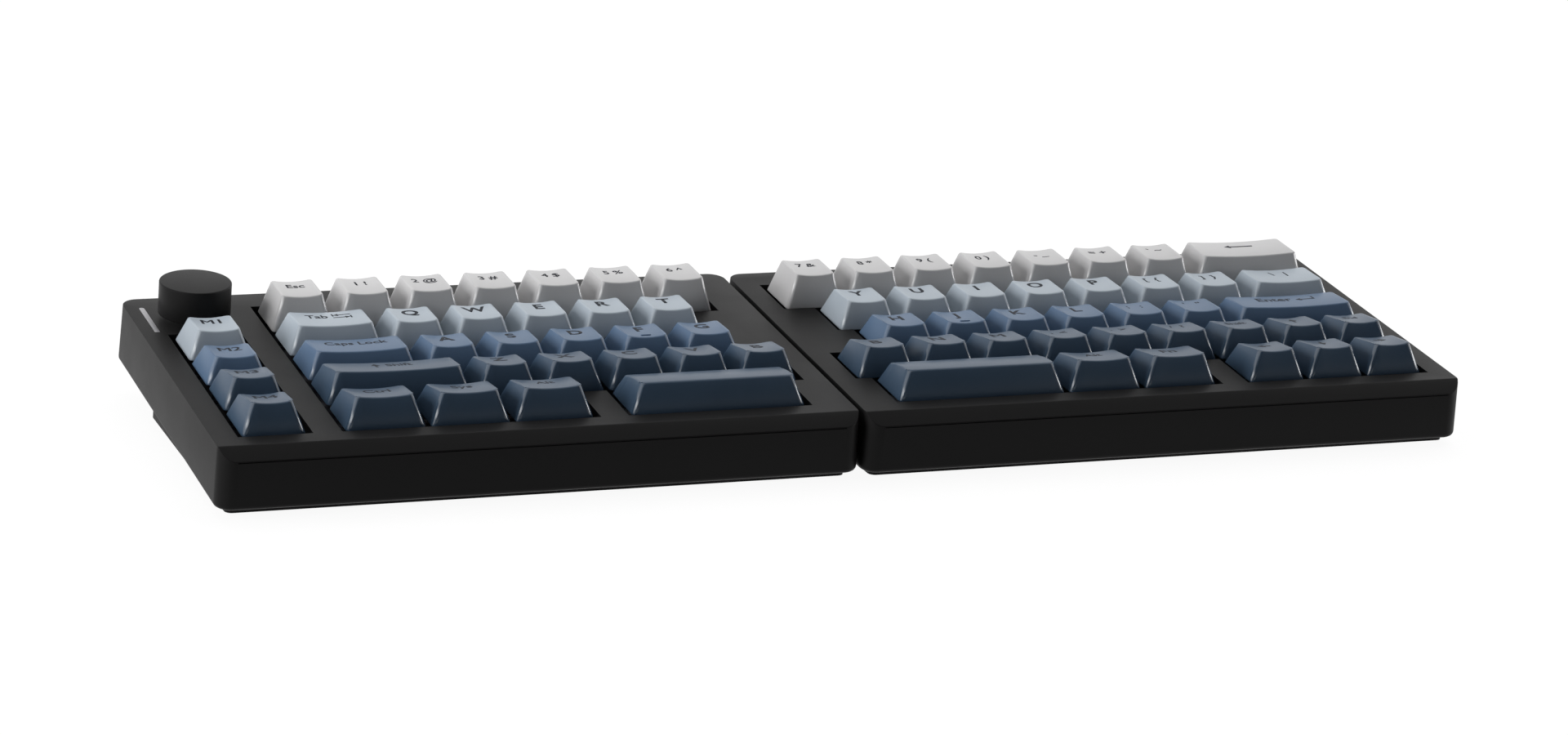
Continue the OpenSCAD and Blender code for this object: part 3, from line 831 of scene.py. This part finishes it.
@dataclass(frozen=True)
class CapMould:
    """A keycap on its cell's middle: leaning walls, soft edges, and a dished or crowned top."""

    row: Row
    width: float
    homing: bool = False
    gap: float = 1.4
    side_lean: float = 2.9
    rear_lean: float = 2.6
    wall: float = 1.2
    top_wall: float = 1.3
    corner: float = 1.1
    rim: float = 0.45
    foot: float = 0.25
    dish: float = 0.65
    crown: float = 34.0
    strip: float = 1.1
    strip_margin: float = 0.8
    fewest_strips: int = 10
    slider: tuple[float, float, float] = (6.8, 5.8, -6.8)
    stab_slider: tuple[float, float, float] = (5.8, 8.2, -5.8)
    stab_offset: float = 11.94
    bar_forward: float = 4.0
    bar_half: tuple[float, float] = (1.45, 0.3)
    bar_root: float = 0.3
    bar_rise: float = 0.35
    bar_edge: float = 0.22
    smooth_angle: float = 32.0

    @property
    def is_long(self) -> bool:
        """Whether stabilisers carry the cap's ends."""
        return self.width >= LONG_KEY

    @property
    def crowned(self) -> bool:
        """Whether the cap is a space bar."""
        return self.row is Row.FRONT and self.is_long

    @property
    def outer(self) -> tuple[float, float]:
        """Width and depth of the skirt."""
        return self.width * PITCH - self.gap, PITCH - self.gap

    @property
    def inner(self) -> tuple[float, float]:
        """Width and depth of the top."""
        width, depth = self.outer
        return width - 2 * self.side_lean, depth - self.row.front_lean - self.rear_lean

    @property
    def middle(self) -> float:
        """How far the top's middle lies behind the cell's middle."""
        return (self.row.front_lean - self.rear_lean) / 2

    @property
    def ceiling(self) -> float:
        """Height of the hollow over the skirt."""
        rise = self.inner[Y] / 2 * self.row.rise
        return self.row.height - self.dish - self.top_wall - rise

    def sink(self, x: float, y: float) -> float:
        """How far the top lies under its highest line.

        Args:
            x: Place across the cap.
            y: Place along the cap.

        Returns:
            The depth there, before the top is tilted.
        """
        if self.crowned:
            return self.crown - math.sqrt(self.crown ** 2 - (y - self.middle) ** 2)
        half = self.inner[X] / 2
        radius = half * half / 2 / self.dish + self.dish / 2
        return self.dish - radius + math.sqrt(radius ** 2 - min(abs(x), half) ** 2)

    def build(self) -> Piece:
        """Builds the cap with its stems, on the cell's middle."""
        cap = self._body()
        self._slice(cap)
        self._shape_top(cap)
        self._hollow(cap)
        shift(cap, (0, 0, SKIRT))
        smooth(cap, self.smooth_angle)
        parts = [cap, self._stem(0.0, self.slider)]
        if self.is_long:
            parts += [self._stem(s * self.stab_offset, self.stab_slider) for s in SIDES]
        if self.homing:
            parts.append(self._homing_bar())
        return join(parts)

    def _body(self) -> Piece:
        """The block with leaning walls, round upright edges, a round rim and a round foot."""
        (w, d), h = self.outer, self.row.height
        top = h - HAIR
        cap = block((-w / 2, -d / 2, 0), (w / 2, d / 2, h))
        paint(cap, self.row.slot, f"{self.row.slot}_edge")
        for s in SIDES:
            shift(cap, (-s * self.side_lean, 0, 0), lambda v: v.co.z > top and s * v.co.x > 0)
        shift(cap, (0, self.row.front_lean, 0), lambda v: v.co.z > top and v.co.y < 0)
        shift(cap, (0, -self.rear_lean, 0), lambda v: v.co.z > top and v.co.y > d / 4)
        round_edges(cap, along(Z), self.corner, steps=4, material=1)
        round_edges(cap, above(top), self.rim, steps=3)
        round_edges(cap, below(HAIR), self.foot, steps=2)
        return cap

    def _slice(self, cap: Piece) -> None:
        """Cuts the cap into narrow strips that can follow the top's curve."""
        axis, middle = (Y, self.middle) if self.crowned else (X, 0.0)
        reach = self.inner[axis] / 2 - self.corner - self.strip_margin
        count = max(self.fewest_strips, round(2 * reach / self.strip))
        way = Vector((axis == X, axis == Y, 0))
        for i in range(count + 1):
            place = way * (middle - reach + 2 * reach * i / count)
            pick(cap, Pick.FACES, lambda f: f.normal.z > DOWN)
            bpy.ops.mesh.bisect(plane_co=place, plane_no=way, threshold=HAIR)
        clear()

    def _shape_top(self, cap: Piece) -> None:
        """Gives the top its dish or crown and its tilt, and slides its edges along the walls."""
        row, (width, depth) = self.row, self.inner
        level = row.height - 2 * self.rim
        top = {v.index: v.co.copy() for v in cap.data.vertices if v.co.z > level}
        self._lower(cap, {i: round(self.sink(p.x, p.y), DEPTH_DIGITS) for i, p in top.items()})
        behind = {i: round(p.y, PLACE_DIGITS) - self.middle for i, p in top.items()}
        self._lower(cap, {i: y * row.rise for i, y in behind.items()})
        lift = depth / 2 * row.rise / row.height
        near, side = depth / 2 - self.corner, width / 2 - self.corner
        for t, lean in zip(SIDES, (row.front_lean, self.rear_lean)):
            end = {i: p.x for i, p in top.items() if t * (p.y - self.middle) > near}
            shift(cap, (0, lean * lift, 0), lambda v: v.index in end)
            for s in SIDES:
                by = (s * t * self.side_lean * lift, 0, 0)
                shift(cap, by, lambda v: s * end.get(v.index, 0.0) > side)

    @staticmethod
    def _lower(cap: Piece, drops: dict[int, float]) -> None:
        """Lowers vertices of a cap, each by the drop that stands under its number."""
        for drop in sorted(set(drops.values())):
            shift(cap, (0, 0, -drop), lambda v: drops.get(v.index) == drop)

    def _hollow(self, cap: Piece) -> None:
        """Opens the cap from below."""
        share = self.ceiling / self.row.height
        width, depth = (side - 2 * self.wall for side in self.outer)
        leans = self.row.front_lean + self.rear_lean
        pick(cap, Pick.FACES, lambda f: f.normal.z < DOWN and f.center.z < HAIR)
        bpy.ops.mesh.inset(thickness=self.wall - self.foot)
        bpy.ops.mesh.extrude_region_move(TRANSFORM_OT_translate={"value": (0, 0, self.ceiling)})
        bpy.ops.transform.resize(
            value=(1 - 2 * self.side_lean * share / width, 1 - leans * share / depth, 1),
            center_override=(0, 0, self.ceiling),
        )
        bpy.ops.transform.translate(value=(0, self.middle * share, 0))
        clear()

    def _stem(self, x: float, slider: Point) -> Piece:
        """A post with its slider at a place along the cap."""
        stem = Stem().build(SKIRT + self.ceiling + self.top_wall / 2, slider, self.row.slot)
        shift(stem, (x, 0, 0))
        return stem

    def _homing_bar(self) -> Piece:
        """The small raised bar that marks a home key."""
        (x, y), front = self.bar_half, self.middle - self.bar_forward
        level = SKIRT + self.row.height - self.dish + self.bar_forward * self.row.rise
        low, high = level - self.bar_root, level + self.bar_rise
        bar = block((-x, front - y, low), (x, front + y, high))
        round_edges(bar, above(level), self.bar_edge, steps=3)
        smooth(bar, self.smooth_angle)
        paint(bar, self.row.slot)
        return bar


@dataclass(frozen=True)
class Legend:
    """Printed legend on a cap's top: words, and a sign beside them."""

    text: str
    mark: Mark
    letters: float
    size: float = 5.6
    pair_size: float = 4.9
    word_size: float = 3.8
    widen: float = 1.1
    bold: float = 0.15
    word_bold: float = 0.06
    tight: str = "M4"
    double: float = 0.2
    space: float = 1.4
    thickness: float = 0.07
    back: float = 2.1
    lift: float = 20.0

    def build(self, cap: Piece, mould: CapMould) -> list[Piece]:
        """Builds the legend on a cap.

        Args:
            cap: The cap, on its cell's middle.
            mould: The cap's form.

        Returns:
            The pieces of the legend.
        """
        makers = ((self.text, self._words), (self.mark.value, self._sign))
        parts = [make() for wanted, make in makers if wanted]
        for part, x in zip(parts, self._places(parts)):
            shift(part, (x, mould.middle + self.back, self.lift))
            self._print_on(part, cap)
        return parts

    def _places(self, parts: Sequence[Piece]) -> tuple[float, ...]:
        """Places across the cap of the words and the sign, side by side about its middle."""
        if len(parts) < 2:
            return (0.0,)
        words, sign = parts[0].dimensions.x + self.space, self.mark.width + self.space
        side = -1 if self.mark is Mark.UP else 1
        return (-side * sign / 2, side * words / 2)

    def _words(self) -> Piece:
        """The words as a flat mesh. Letters too tight to be drawn bold are printed twice."""
        count = len(self.text)
        tight = any(letter in self.tight for letter in self.text)
        bold = 0.0 if tight else self.bold if count == 1 else self.word_bold
        clear()
        bpy.ops.object.text_add()
        words = bpy.context.object
        letters = words.data
        letters.body = self.text
        letters.size = self.letters * {1: self.size, 2: self.pair_size}.get(count, self.word_size)
        letters.align_x = letters.align_y = "CENTER"
        letters.offset = self.letters * bold
        letters.resolution_u = 4
        words.scale.x = self.widen
        bpy.ops.object.convert(target="MESH")
        words = fix()
        if not tight:
            return words
        shift(words, (-self.double / 2, 0, 0))
        twin = copy(words)
        shift(twin, (self.double, 0, 0))
        return join([words, twin])

    def _sign(self) -> Piece:
        """The sign as a flat mesh."""
        return join([self._arrow(arrow) for arrow in self.mark.value])

    @staticmethod
    def _arrow(arrow: Arrow) -> Piece:
        """One arrow of the sign, pointing its way."""
        half, stroke, head = arrow.length / 2, arrow.stroke, arrow.head
        tip = half - stroke if arrow.stop else half
        parts = [sheet((-half, -stroke / 2), (tip - head, stroke / 2)), wedge(tip, head)]
        if arrow.stop:
            parts.append(sheet((tip, -head), (half, head)))
        if arrow.bend:
            parts.append(sheet((-half, -arrow.bend), (stroke - half, stroke / 2)))
        piece = join(parts)
        piece.rotation_euler.z = math.radians(arrow.turn)
        piece.location.y = arrow.y
        return fix(piece)

    def _print_on(self, part: Piece, cap: Piece) -> None:
        """Lays a flat mesh on the cap's top and gives it the thickness of a print."""
        pick(part, Pick.FACES, lambda f: True)
        bpy.ops.mesh.subdivide(number_cuts=2)
        clear()
        modify(
            part, "SHRINKWRAP", target=cap, wrap_method="PROJECT", use_project_z=True,
            use_negative_direction=True, use_positive_direction=False,
        )
        modify(part, "SOLIDIFY", thickness=self.thickness, offset=0.0)
        paint(part, "ink")


@dataclass(frozen=True)
class KeyBlock:
    """One CAD node's keys: a single key, or a block of equal keys that share a slide."""

    node: str
    half: Half
    row: Row
    keys: tuple[Key, ...]

    @property
    def name(self) -> str:
        """Name of the dressed piece."""
        return self.node.replace("key", "cap", 1)

    def build(self, moulds: dict[CapMould, Piece]) -> Piece:
        """Builds the dressed caps.

        Args:
            moulds: Caps that are built already, by their form.

        Returns:
            All caps of the block as one piece.
        """
        parts = []
        for key in self.keys:
            mould = CapMould(self.row, key.width, key.homing)
            if mould not in moulds:
                moulds[mould] = mould.build()
            cap = copy(moulds[mould])
            legend = Legend(key.legend, key.mark, key.letters).build(cap, mould)
            whole = join([cap, *legend])
            whole.location = (key.middle, self.row.middle, 0)
            parts.append(fix(whole))
        piece = join(parts)
        return settle(piece, self.half, self.name, self.node, self.row.slot, self.node)


@dataclass(frozen=True)
class Well:
    """Opening for keys: its first and last row, and its left and right edges in key widths."""

    first: int
    last: int
    left: float
    right: float

    def block(self, room: float, low: float, high: float) -> Piece:
        """A block round the well's keys.

        Args:
            room: How far it stands off the keys' cells.
            low: Height of its foot.
            high: Height of its top.

        Returns:
            The block.
        """
        front, back = (ROWS - self.last) * PITCH - room, (ROWS + 1 - self.first) * PITCH + room
        left, right = self.left * PITCH - room, self.right * PITCH + room
        return block((left, front, low), (right, back, high))


@dataclass(frozen=True)
class TopCase:
    """Upper shell of a half: a slab with leaning walls, a front bevel and wells for the keys."""

    half: Half
    left: float
    right: float
    wells: tuple[Well, ...]
    front: float = -10.1
    back: float = 106.45
    height: float = 17.2
    draft: float = 2.0
    corner: float = 4.8
    lower_edge: float = 1.5
    bevel_start: float = -6.5
    bevel_slope: float = 3.2 / 3.6
    soft_edge: float = 0.2
    soft_angle: float = 30.0
    seam: float = 0.3
    wall: float = 2.6
    deck: float = 2.4
    margin: float = 0.8
    skirt: float = 1.2
    skirt_end: float = -6.4
    hole_end: float = -4.0
    shaft_hole: float = 3.8
    socket_half: tuple[float, float] = (4.67, 1.83)
    socket_corner: float = 1.8
    smooth_angle: float = 28.0

    def build(self) -> Piece:
        """Builds the dressed shell."""
        shell = self._slab()
        cut(shell, self._cavity())
        room, top = self.margin + self.skirt, -self.deck / 2
        skirts = [well.block(room, self.skirt_end, top) for well in self.wells]
        cut(shell, *skirts, join=True)
        cut(shell, *[well.block(self.margin, -self.height, OVER) for well in self.wells])
        cut(shell, self._socket_mouth(), self._front_seam())
        if self.half is Half.LEFT:
            hole = drum((Knob.x, Knob.y), self.shaft_hole, self.hole_end, OVER, sides=48)
            cut(shell, hole, LightBar().form(0.0, self.hole_end, OVER))
        weld(shell)
        smooth(shell, self.smooth_angle)
        paint(shell, "case")
        node = f"{self.half.value}_top_case"
        return settle(shell, self.half, f"{node}_shell", self.half.body, "case", node)

    def _slab(self) -> Piece:
        """The outer form."""
        slab = block((self.left, self.front, -self.height), (self.right, self.back, 0))
        grow = math.tan(math.radians(self.draft)) * self.height
        low = -self.height + HAIR
        x, y = (self.left + self.right) / 2, self.back / 2
        for s in SIDES:
            shift(slab, (s * grow, 0, 0), lambda v: v.co.z < low and s * (v.co.x - x) > 0)
            shift(slab, (0, s * grow, 0), lambda v: v.co.z < low and s * (v.co.y - y) > 0)
        round_edges(slab, along(Z), self.corner, steps=10)
        round_edges(slab, below(low), self.lower_edge, steps=4)
        pick(slab, Pick.FACES, lambda f: True)
        bpy.ops.mesh.bisect(
            plane_co=(0, self.bevel_start, 0), plane_no=(0, -self.bevel_slope, 1),
            use_fill=True, clear_outer=True, threshold=HAIR,
        )
        clear()
        modify(
            slab, "BEVEL", width=self.soft_edge, segments=3, limit_method="ANGLE",
            angle_limit=math.radians(self.soft_angle), use_clamp_overlap=False,
        )
        return slab

    def _cavity(self) -> Piece:
        """The room inside the walls."""
        hollow = block(
            (self.left + self.wall, self.front + self.wall, -self.height - OVER),
            (self.right - self.wall, self.back - self.wall, -self.deck),
        )
        round_edges(hollow, along(Z), self.corner - self.wall, steps=6)
        return hollow

    def _front_seam(self) -> Piece:
        """The fine groove along the bevel's lower edge."""
        edge = self.bevel_slope * (self.front - self.bevel_start)
        seam = block(
            (self.left + self.corner, self.front - 2 * OVER, edge - 2 * self.seam),
            (self.right - self.corner, self.front + self.seam, edge - self.seam),
        )
        round_edges(seam, along(X, self.front), self.seam / 3, steps=2)
        return seam

    def _socket_mouth(self) -> Piece:
        """The opening in the rear wall for the cord socket."""
        low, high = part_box(f"{self.half.value}_usb_socket")
        middle = DECKS[self.half].matrix.inverted() @ ((low + high) / 2)
        x, z = self.socket_half
        mouth = block(
            (middle.x - x, self.back - self.wall - 2 * OVER, middle.z - z),
            (middle.x + x, self.back + 3 * OVER, middle.z + z),
        )
        round_edges(mouth, along(Y), self.socket_corner, steps=6)
        return mouth


@dataclass(frozen=True)
class Knob:
    """The knob: a hollow cap with a bevelled rim and a hub inside."""

    x: float = -19.05
    y: float = 88.65
    radius: float = 10.2
    low: float = 1.7
    high: float = 11.2
    rim: float = 0.4
    foot: float = 0.3
    wall: float = 1.6
    top: float = 2.4
    hub: float = 4.5
    bore: float = 3.1
    smooth_angle: float = 30.0

    def build(self) -> Piece:
        """Builds the dressed knob."""
        axis, low, roof = (self.x, self.y), self.low - OVER, self.high - self.top
        knob = drum(axis, self.radius, self.low, self.high, sides=128)
        round_edges(knob, above(self.high - HAIR), self.rim, steps=4)
        round_edges(knob, below(self.low + HAIR), self.foot, steps=2)
        cut(knob, drum(axis, self.radius - self.wall, low, roof, sides=96))
        hub = drum(axis, self.hub, self.low, self.high - self.top / 2, sides=48)
        cut(knob, hub, join=True)
        cut(knob, drum(axis, self.bore, low, roof, sides=48))
        smooth(knob, self.smooth_angle)
        paint(knob, "knob")
        return settle(knob, Half.LEFT, "knob_cap", "knob", "knob", "knob")


@dataclass(frozen=True)
class LightBar:
    """The pale light bar: round at the back, square in front, with a foot under the deck."""

    x: float = -31.675
    front: float = 79.4
    length: float = 20.0
    width: float = 1.7
    low: float = -2.9
    high: float = -0.02
    play: float = 0.05
    roundness: float = 0.98
    soft_edge: float = 0.12
    soft_angle: float = 50.0
    lip: float = 0.6
    foot_low: float = -3.4
    foot_high: float = -2.4
    smooth_angle: float = 40.0

    def form(self, play: float, low: float, high: float) -> Piece:
        """The bar's form.

        Args:
            play: How much smaller it is than its opening, all round.
            low: Height of its foot.
            high: Height of its top.

        Returns:
            The form, without soft edges.
        """
        half, back = self.width / 2 - play, self.front + self.length
        bar = block((self.x - half, self.front + play, low), (self.x + half, back - play, high))
        rear = along(Z, self.front + self.length / 2)
        round_edges(bar, rear, half * self.roundness, steps=8)
        return bar

    def build(self) -> Piece:
        """Builds the dressed bar."""
        bar = self.form(self.play, self.low, self.high)
        modify(
            bar, "BEVEL", width=self.soft_edge, segments=2, limit_method="ANGLE",
            angle_limit=math.radians(self.soft_angle),
        )
        edge, back = self.width / 2 + self.lip, self.front + self.length + self.lip
        corner = (self.x - edge, self.front - self.lip, self.foot_low)
        foot = block(corner, (self.x + edge, back, self.foot_high))
        cut(bar, foot, join=True)
        smooth(bar, self.smooth_angle)
        paint(bar, "light")
        return settle(bar, Half.LEFT, "light_bar_guide", Half.LEFT.body, "light", "light_bar")


@dataclass(frozen=True)
class PhotoCamera:
    """The camera of the photograph, placed from the left half's deck in millimetres and degrees."""

    focal: float = 104.675
    sensor: float = 36.0
    distance: float = 1216.009
    yaw: float = 22.6708
    elevation: float = 20.3368
    roll: float = -5.2524
    across: float = -117.2891
    up: float = -17.4552
    nearest: float = 0.05
    farthest: float = 20.0

    def build(self) -> Piece:
        """Adds the camera and makes it the scene's."""
        turns = ((self.roll, "Z"), (self.elevation - 90, "X"), (self.yaw, "Z"))
        roll, tip, yaw = (Matrix.Rotation(math.radians(angle), 4, axis) for angle, axis in turns)
        back = (roll @ tip @ yaw).transposed()
        eye = -(back @ Vector((self.across, self.up, -self.distance)))
        eye.z += SKIRT
        deck = DECKS[Half.LEFT]
        clear()
        bpy.ops.object.camera_add()
        camera = bpy.context.object
        camera.data.lens = self.focal
        camera.data.sensor_width = self.sensor
        camera.data.clip_start = self.nearest
        camera.data.clip_end = self.farthest
        camera.matrix_world = Matrix.Translation(deck.matrix @ eye) @ deck.turn @ back
        bpy.context.scene.camera = camera
        return camera


@dataclass(frozen=True)
class Lamp:
    """A soft lamp that faces the keyboard; it can light dull surfaces, glossy ones or both."""

    name: str
    place: tuple[float, float, float]
    size: tuple[float, float]
    watts: float
    dull: bool = True
    glossy: bool = True

    def build(self) -> Piece:
        """Hangs the lamp."""
        clear()
        bpy.ops.object.light_add(type="AREA", location=self.place)
        lamp = bpy.context.object
        lamp.name = self.name
        lamp.data.shape = "RECTANGLE"
        lamp.data.size, lamp.data.size_y = self.size
        lamp.data.energy = self.watts
        lamp.visible_diffuse = self.dull
        lamp.visible_glossy = self.glossy
        lamp.rotation_mode = "QUATERNION"
        lamp.rotation_quaternion = (-Vector(self.place)).to_track_quat("-Z", "Y")
        return lamp


@dataclass(frozen=True)
class Studio:
    """Pale floor, soft light from behind, small lamps at both sides and a dark flag in front."""

    floor_side: float = 16.0
    floor_drop: float = 50e-6
    flag_y: float = -1.7
    flag_width: float = 4.0
    flag_height: float = 1.9
    sky_from: tuple[float, float, float] = (0.38, 0.68, 0.62)
    sky_edge: float = 0.4
    sky_low: float = 0.02
    sky_high: float = 2.9
    lamps: tuple[Lamp, ...] = (
        Lamp("left_panel", (-1.28, -0.06, 0.42), (1.0, 0.7), 15.0, glossy=False),
        Lamp("left_strip", (-1.16, -0.56, 0.36), (1.8, 0.2), 4.2, dull=False),
        Lamp("right_strip", (1.42, -0.22, 0.14), (1.2, 0.28), 5.8),
    )

    def build(self) -> None:
        """Adds the floor, the flag, the lamps and the sky."""
        self._floor()
        self._flag()
        for lamp in self.lamps:
            lamp.build()
        self._sky()
        bpy.context.scene.view_settings.view_transform = "Standard"

    @staticmethod
    def seen(graph: Graph) -> Wire:
        """One for camera, glossy and transmission rays, which see the white background."""
        camera, glossy, through = (
            graph.node("ShaderNodeLightPath", output=f"Is {kind} Ray")
            for kind in ("Camera", "Glossy", "Transmission")
        )
        rays = {0: camera + glossy, 1: through}
        return graph.node("ShaderNodeMath", {"operation": "ADD", "use_clamp": True}, rays)

    def _floor(self) -> None:
        """The floor, a hair under the feet."""
        clear()
        bpy.ops.mesh.primitive_plane_add(size=self.floor_side, location=(0, 0, -self.floor_drop))
        floor = bpy.context.object
        floor.name = "studio_floor"
        paint(floor, "floor")

    def _flag(self) -> None:
        """A dark card that keeps light off the front faces; the camera looks past it."""
        clear()
        middle = (0, self.flag_y, self.flag_height / 2)
        bpy.ops.mesh.primitive_plane_add(size=1, location=middle, rotation=(math.pi / 2, 0, 0))
        bpy.context.object.scale = (self.flag_width, self.flag_height, 1)
        flag = fix()
        flag.name = "studio_flag"
        paint(flag, "flag")
        flag.visible_camera = False

    def _sky(self) -> None:
        """Light from all round, bright behind, and white where it is seen."""
        world = bpy.data.worlds.new("studio_sky")
        bpy.context.scene.world = world
        graph = Graph(world)
        ways = {0: graph.node("ShaderNodeTexCoord", output="Generated"), 1: self.sky_from}
        dot = {"operation": "DOT_PRODUCT"}
        span = {
            "Value": graph.node("ShaderNodeVectorMath", dot, ways, "Value"),
            "From Min": self.sky_edge, "From Max": 1.0,
            "To Min": self.sky_low, "To Max": self.sky_high,
        }
        level = graph.node("ShaderNodeMapRange", {"interpolation_type": "SMOOTHSTEP"}, span)
        light, white = (
            graph.node("ShaderNodeBackground", {}, {"Color": WHITE, "Strength": strength})
            for strength in (level, 1.0)
        )
        mixed = graph.node("ShaderNodeMixShader", {}, {0: self.seen(graph), 1: light, 2: white})
        graph.node("ShaderNodeOutputWorld", {}, {"Surface": mixed})


L, R = Half
KEY_BLOCKS = (
    KeyBlock("key_esc", L, Row.NUMBERS, (Key(0, 1, "Esc"),)),
    KeyBlock("keys_one_to_six", L, Row.NUMBERS,
             key_run(1, ("1 !", "2 @", "3 #", "4 $", "5 %", "6 ^"))),
    KeyBlock("key_tab", L, Row.UPPER, (Key(0, 1.5, "Tab", Mark.TAB),)),
    KeyBlock("keys_q_to_t", L, Row.UPPER, key_run(1.5, "QWERT")),
    KeyBlock("key_caps_lock", L, Row.HOME, (Key(0, 1.75, "Caps Lock"),)),
    KeyBlock("keys_a_to_g", L, Row.HOME, key_run(1.75, "ASDFG", "F")),
    KeyBlock("key_left_shift", L, Row.LOWER, (Key(0, 2.25, "Shift", Mark.UP),)),
    KeyBlock("keys_z_to_b", L, Row.LOWER, key_run(2.25, "ZXCVB")),
    KeyBlock("key_left_ctrl", L, Row.FRONT, (Key(0, 1.25, "Ctrl", letters=1.14),)),
    KeyBlock("key_left_system", L, Row.FRONT, (Key(1.25, 1.25, "Sys", letters=1.14),)),
    KeyBlock("key_left_alt", L, Row.FRONT, (Key(2.5, 1.25, "Alt"),)),
    KeyBlock("key_left_space", L, Row.FRONT, (Key(4.25, 2.75),)),
    KeyBlock("key_macro_one", L, Row.UPPER, (Key(-1.5, 1, "M1"),)),
    KeyBlock("key_macro_two", L, Row.HOME, (Key(-1.5, 1, "M2"),)),
    KeyBlock("key_macro_three", L, Row.LOWER, (Key(-1.5, 1, "M3"),)),
    KeyBlock("key_macro_four", L, Row.FRONT, (Key(-1.5, 1, "M4"),)),
    KeyBlock("keys_seven_to_grave", R, Row.NUMBERS,
             key_run(0, ("7 &", "8 *", "9 (", "0 )", "- _", "= +", "` ~"))),
    KeyBlock("key_backspace", R, Row.NUMBERS, (Key(7, 2, mark=Mark.BACK),)),
    KeyBlock("keys_y_to_bracket", R, Row.UPPER,
             key_run(0.5, ("Y", "U", "I", "O", "P", "[  {", "]  }"))),
    KeyBlock("key_backslash", R, Row.UPPER, (Key(7.5, 1.5, "\\   |"),)),
    KeyBlock("keys_h_to_quote", R, Row.HOME,
             key_run(0.75, ("H", "J", "K", "L", ";   :", "'   \""), "J")),
    KeyBlock("key_enter", R, Row.HOME, (Key(6.75, 2.25, "Enter", Mark.RETURN, 1.27),)),
    KeyBlock("keys_b_to_slash", R, Row.LOWER, key_run(0, ("B", "N", "M", ",  <", ".  >", "/  ?"))),
    KeyBlock("key_right_shift", R, Row.LOWER, (Key(6, 1, "Shift", letters=0.9),)),
    KeyBlock("key_up", R, Row.LOWER, (Key(7, 1, mark=Mark.UP),)),
    KeyBlock("key_end", R, Row.LOWER, (Key(8, 1, "End", letters=0.75),)),
    KeyBlock("key_right_space", R, Row.FRONT, (Key(0.25, 2.75),)),
    KeyBlock("key_right_alt", R, Row.FRONT, (Key(3, 1.25, "Alt"),)),
    KeyBlock("key_fn", R, Row.FRONT, (Key(4.25, 1.25, "Fn"),)),
    KeyBlock("key_left_arrow", R, Row.FRONT, (Key(6, 1, mark=Mark.LEFT),)),
    KeyBlock("key_down_arrow", R, Row.FRONT, (Key(7, 1, mark=Mark.DOWN),)),
    KeyBlock("key_right_arrow", R, Row.FRONT, (Key(8, 1, mark=Mark.RIGHT),)),
)
TOP_CASES = (
    TopCase(L, -36.275, 145.8125, (
        Well(1, 1, 0, 7), Well(2, 2, 0, 6.5), Well(3, 3, 0, 6.75), Well(4, 4, 0, 7.25),
        Well(5, 5, 0, 3.75), Well(5, 5, 4.25, 7), Well(2, 5, -1.5, -0.5),
    )),
    TopCase(R, -7.7, 179.15, (
        Well(1, 1, 0, 9), Well(2, 2, 0.5, 9), Well(3, 3, 0.75, 9), Well(4, 4, 0, 9),
        Well(5, 5, 0.25, 5.5), Well(5, 5, 6, 9),
    )),
)


def dress_inside() -> None:
    """Gives each CAD node that stays in view the finish of its slot."""
    for part in frame["record"]["subparts"]:
        node = frame["nodes"][part["node"]]
        if not node.hide_render:
            paint(node, part["material_slot"])
            LOG.info("%s: carried over as %s", part["node"], part["material_slot"])


def main() -> None:
    """Builds the camera, the pieces and the stage."""
    logging.basicConfig(level=logging.INFO, format="%(message)s")
    PhotoCamera().build()
    moulds: dict[CapMould, Piece] = {}
    for keys in KEY_BLOCKS:
        keys.build(moulds)
    for cap in moulds.values():
        bpy.data.objects.remove(cap)
    for piece in (*TOP_CASES, Knob(), LightBar()):
        piece.build()
    dress_inside()
    Studio().build()
    clear()


if __name__ == "__main__":
    main()
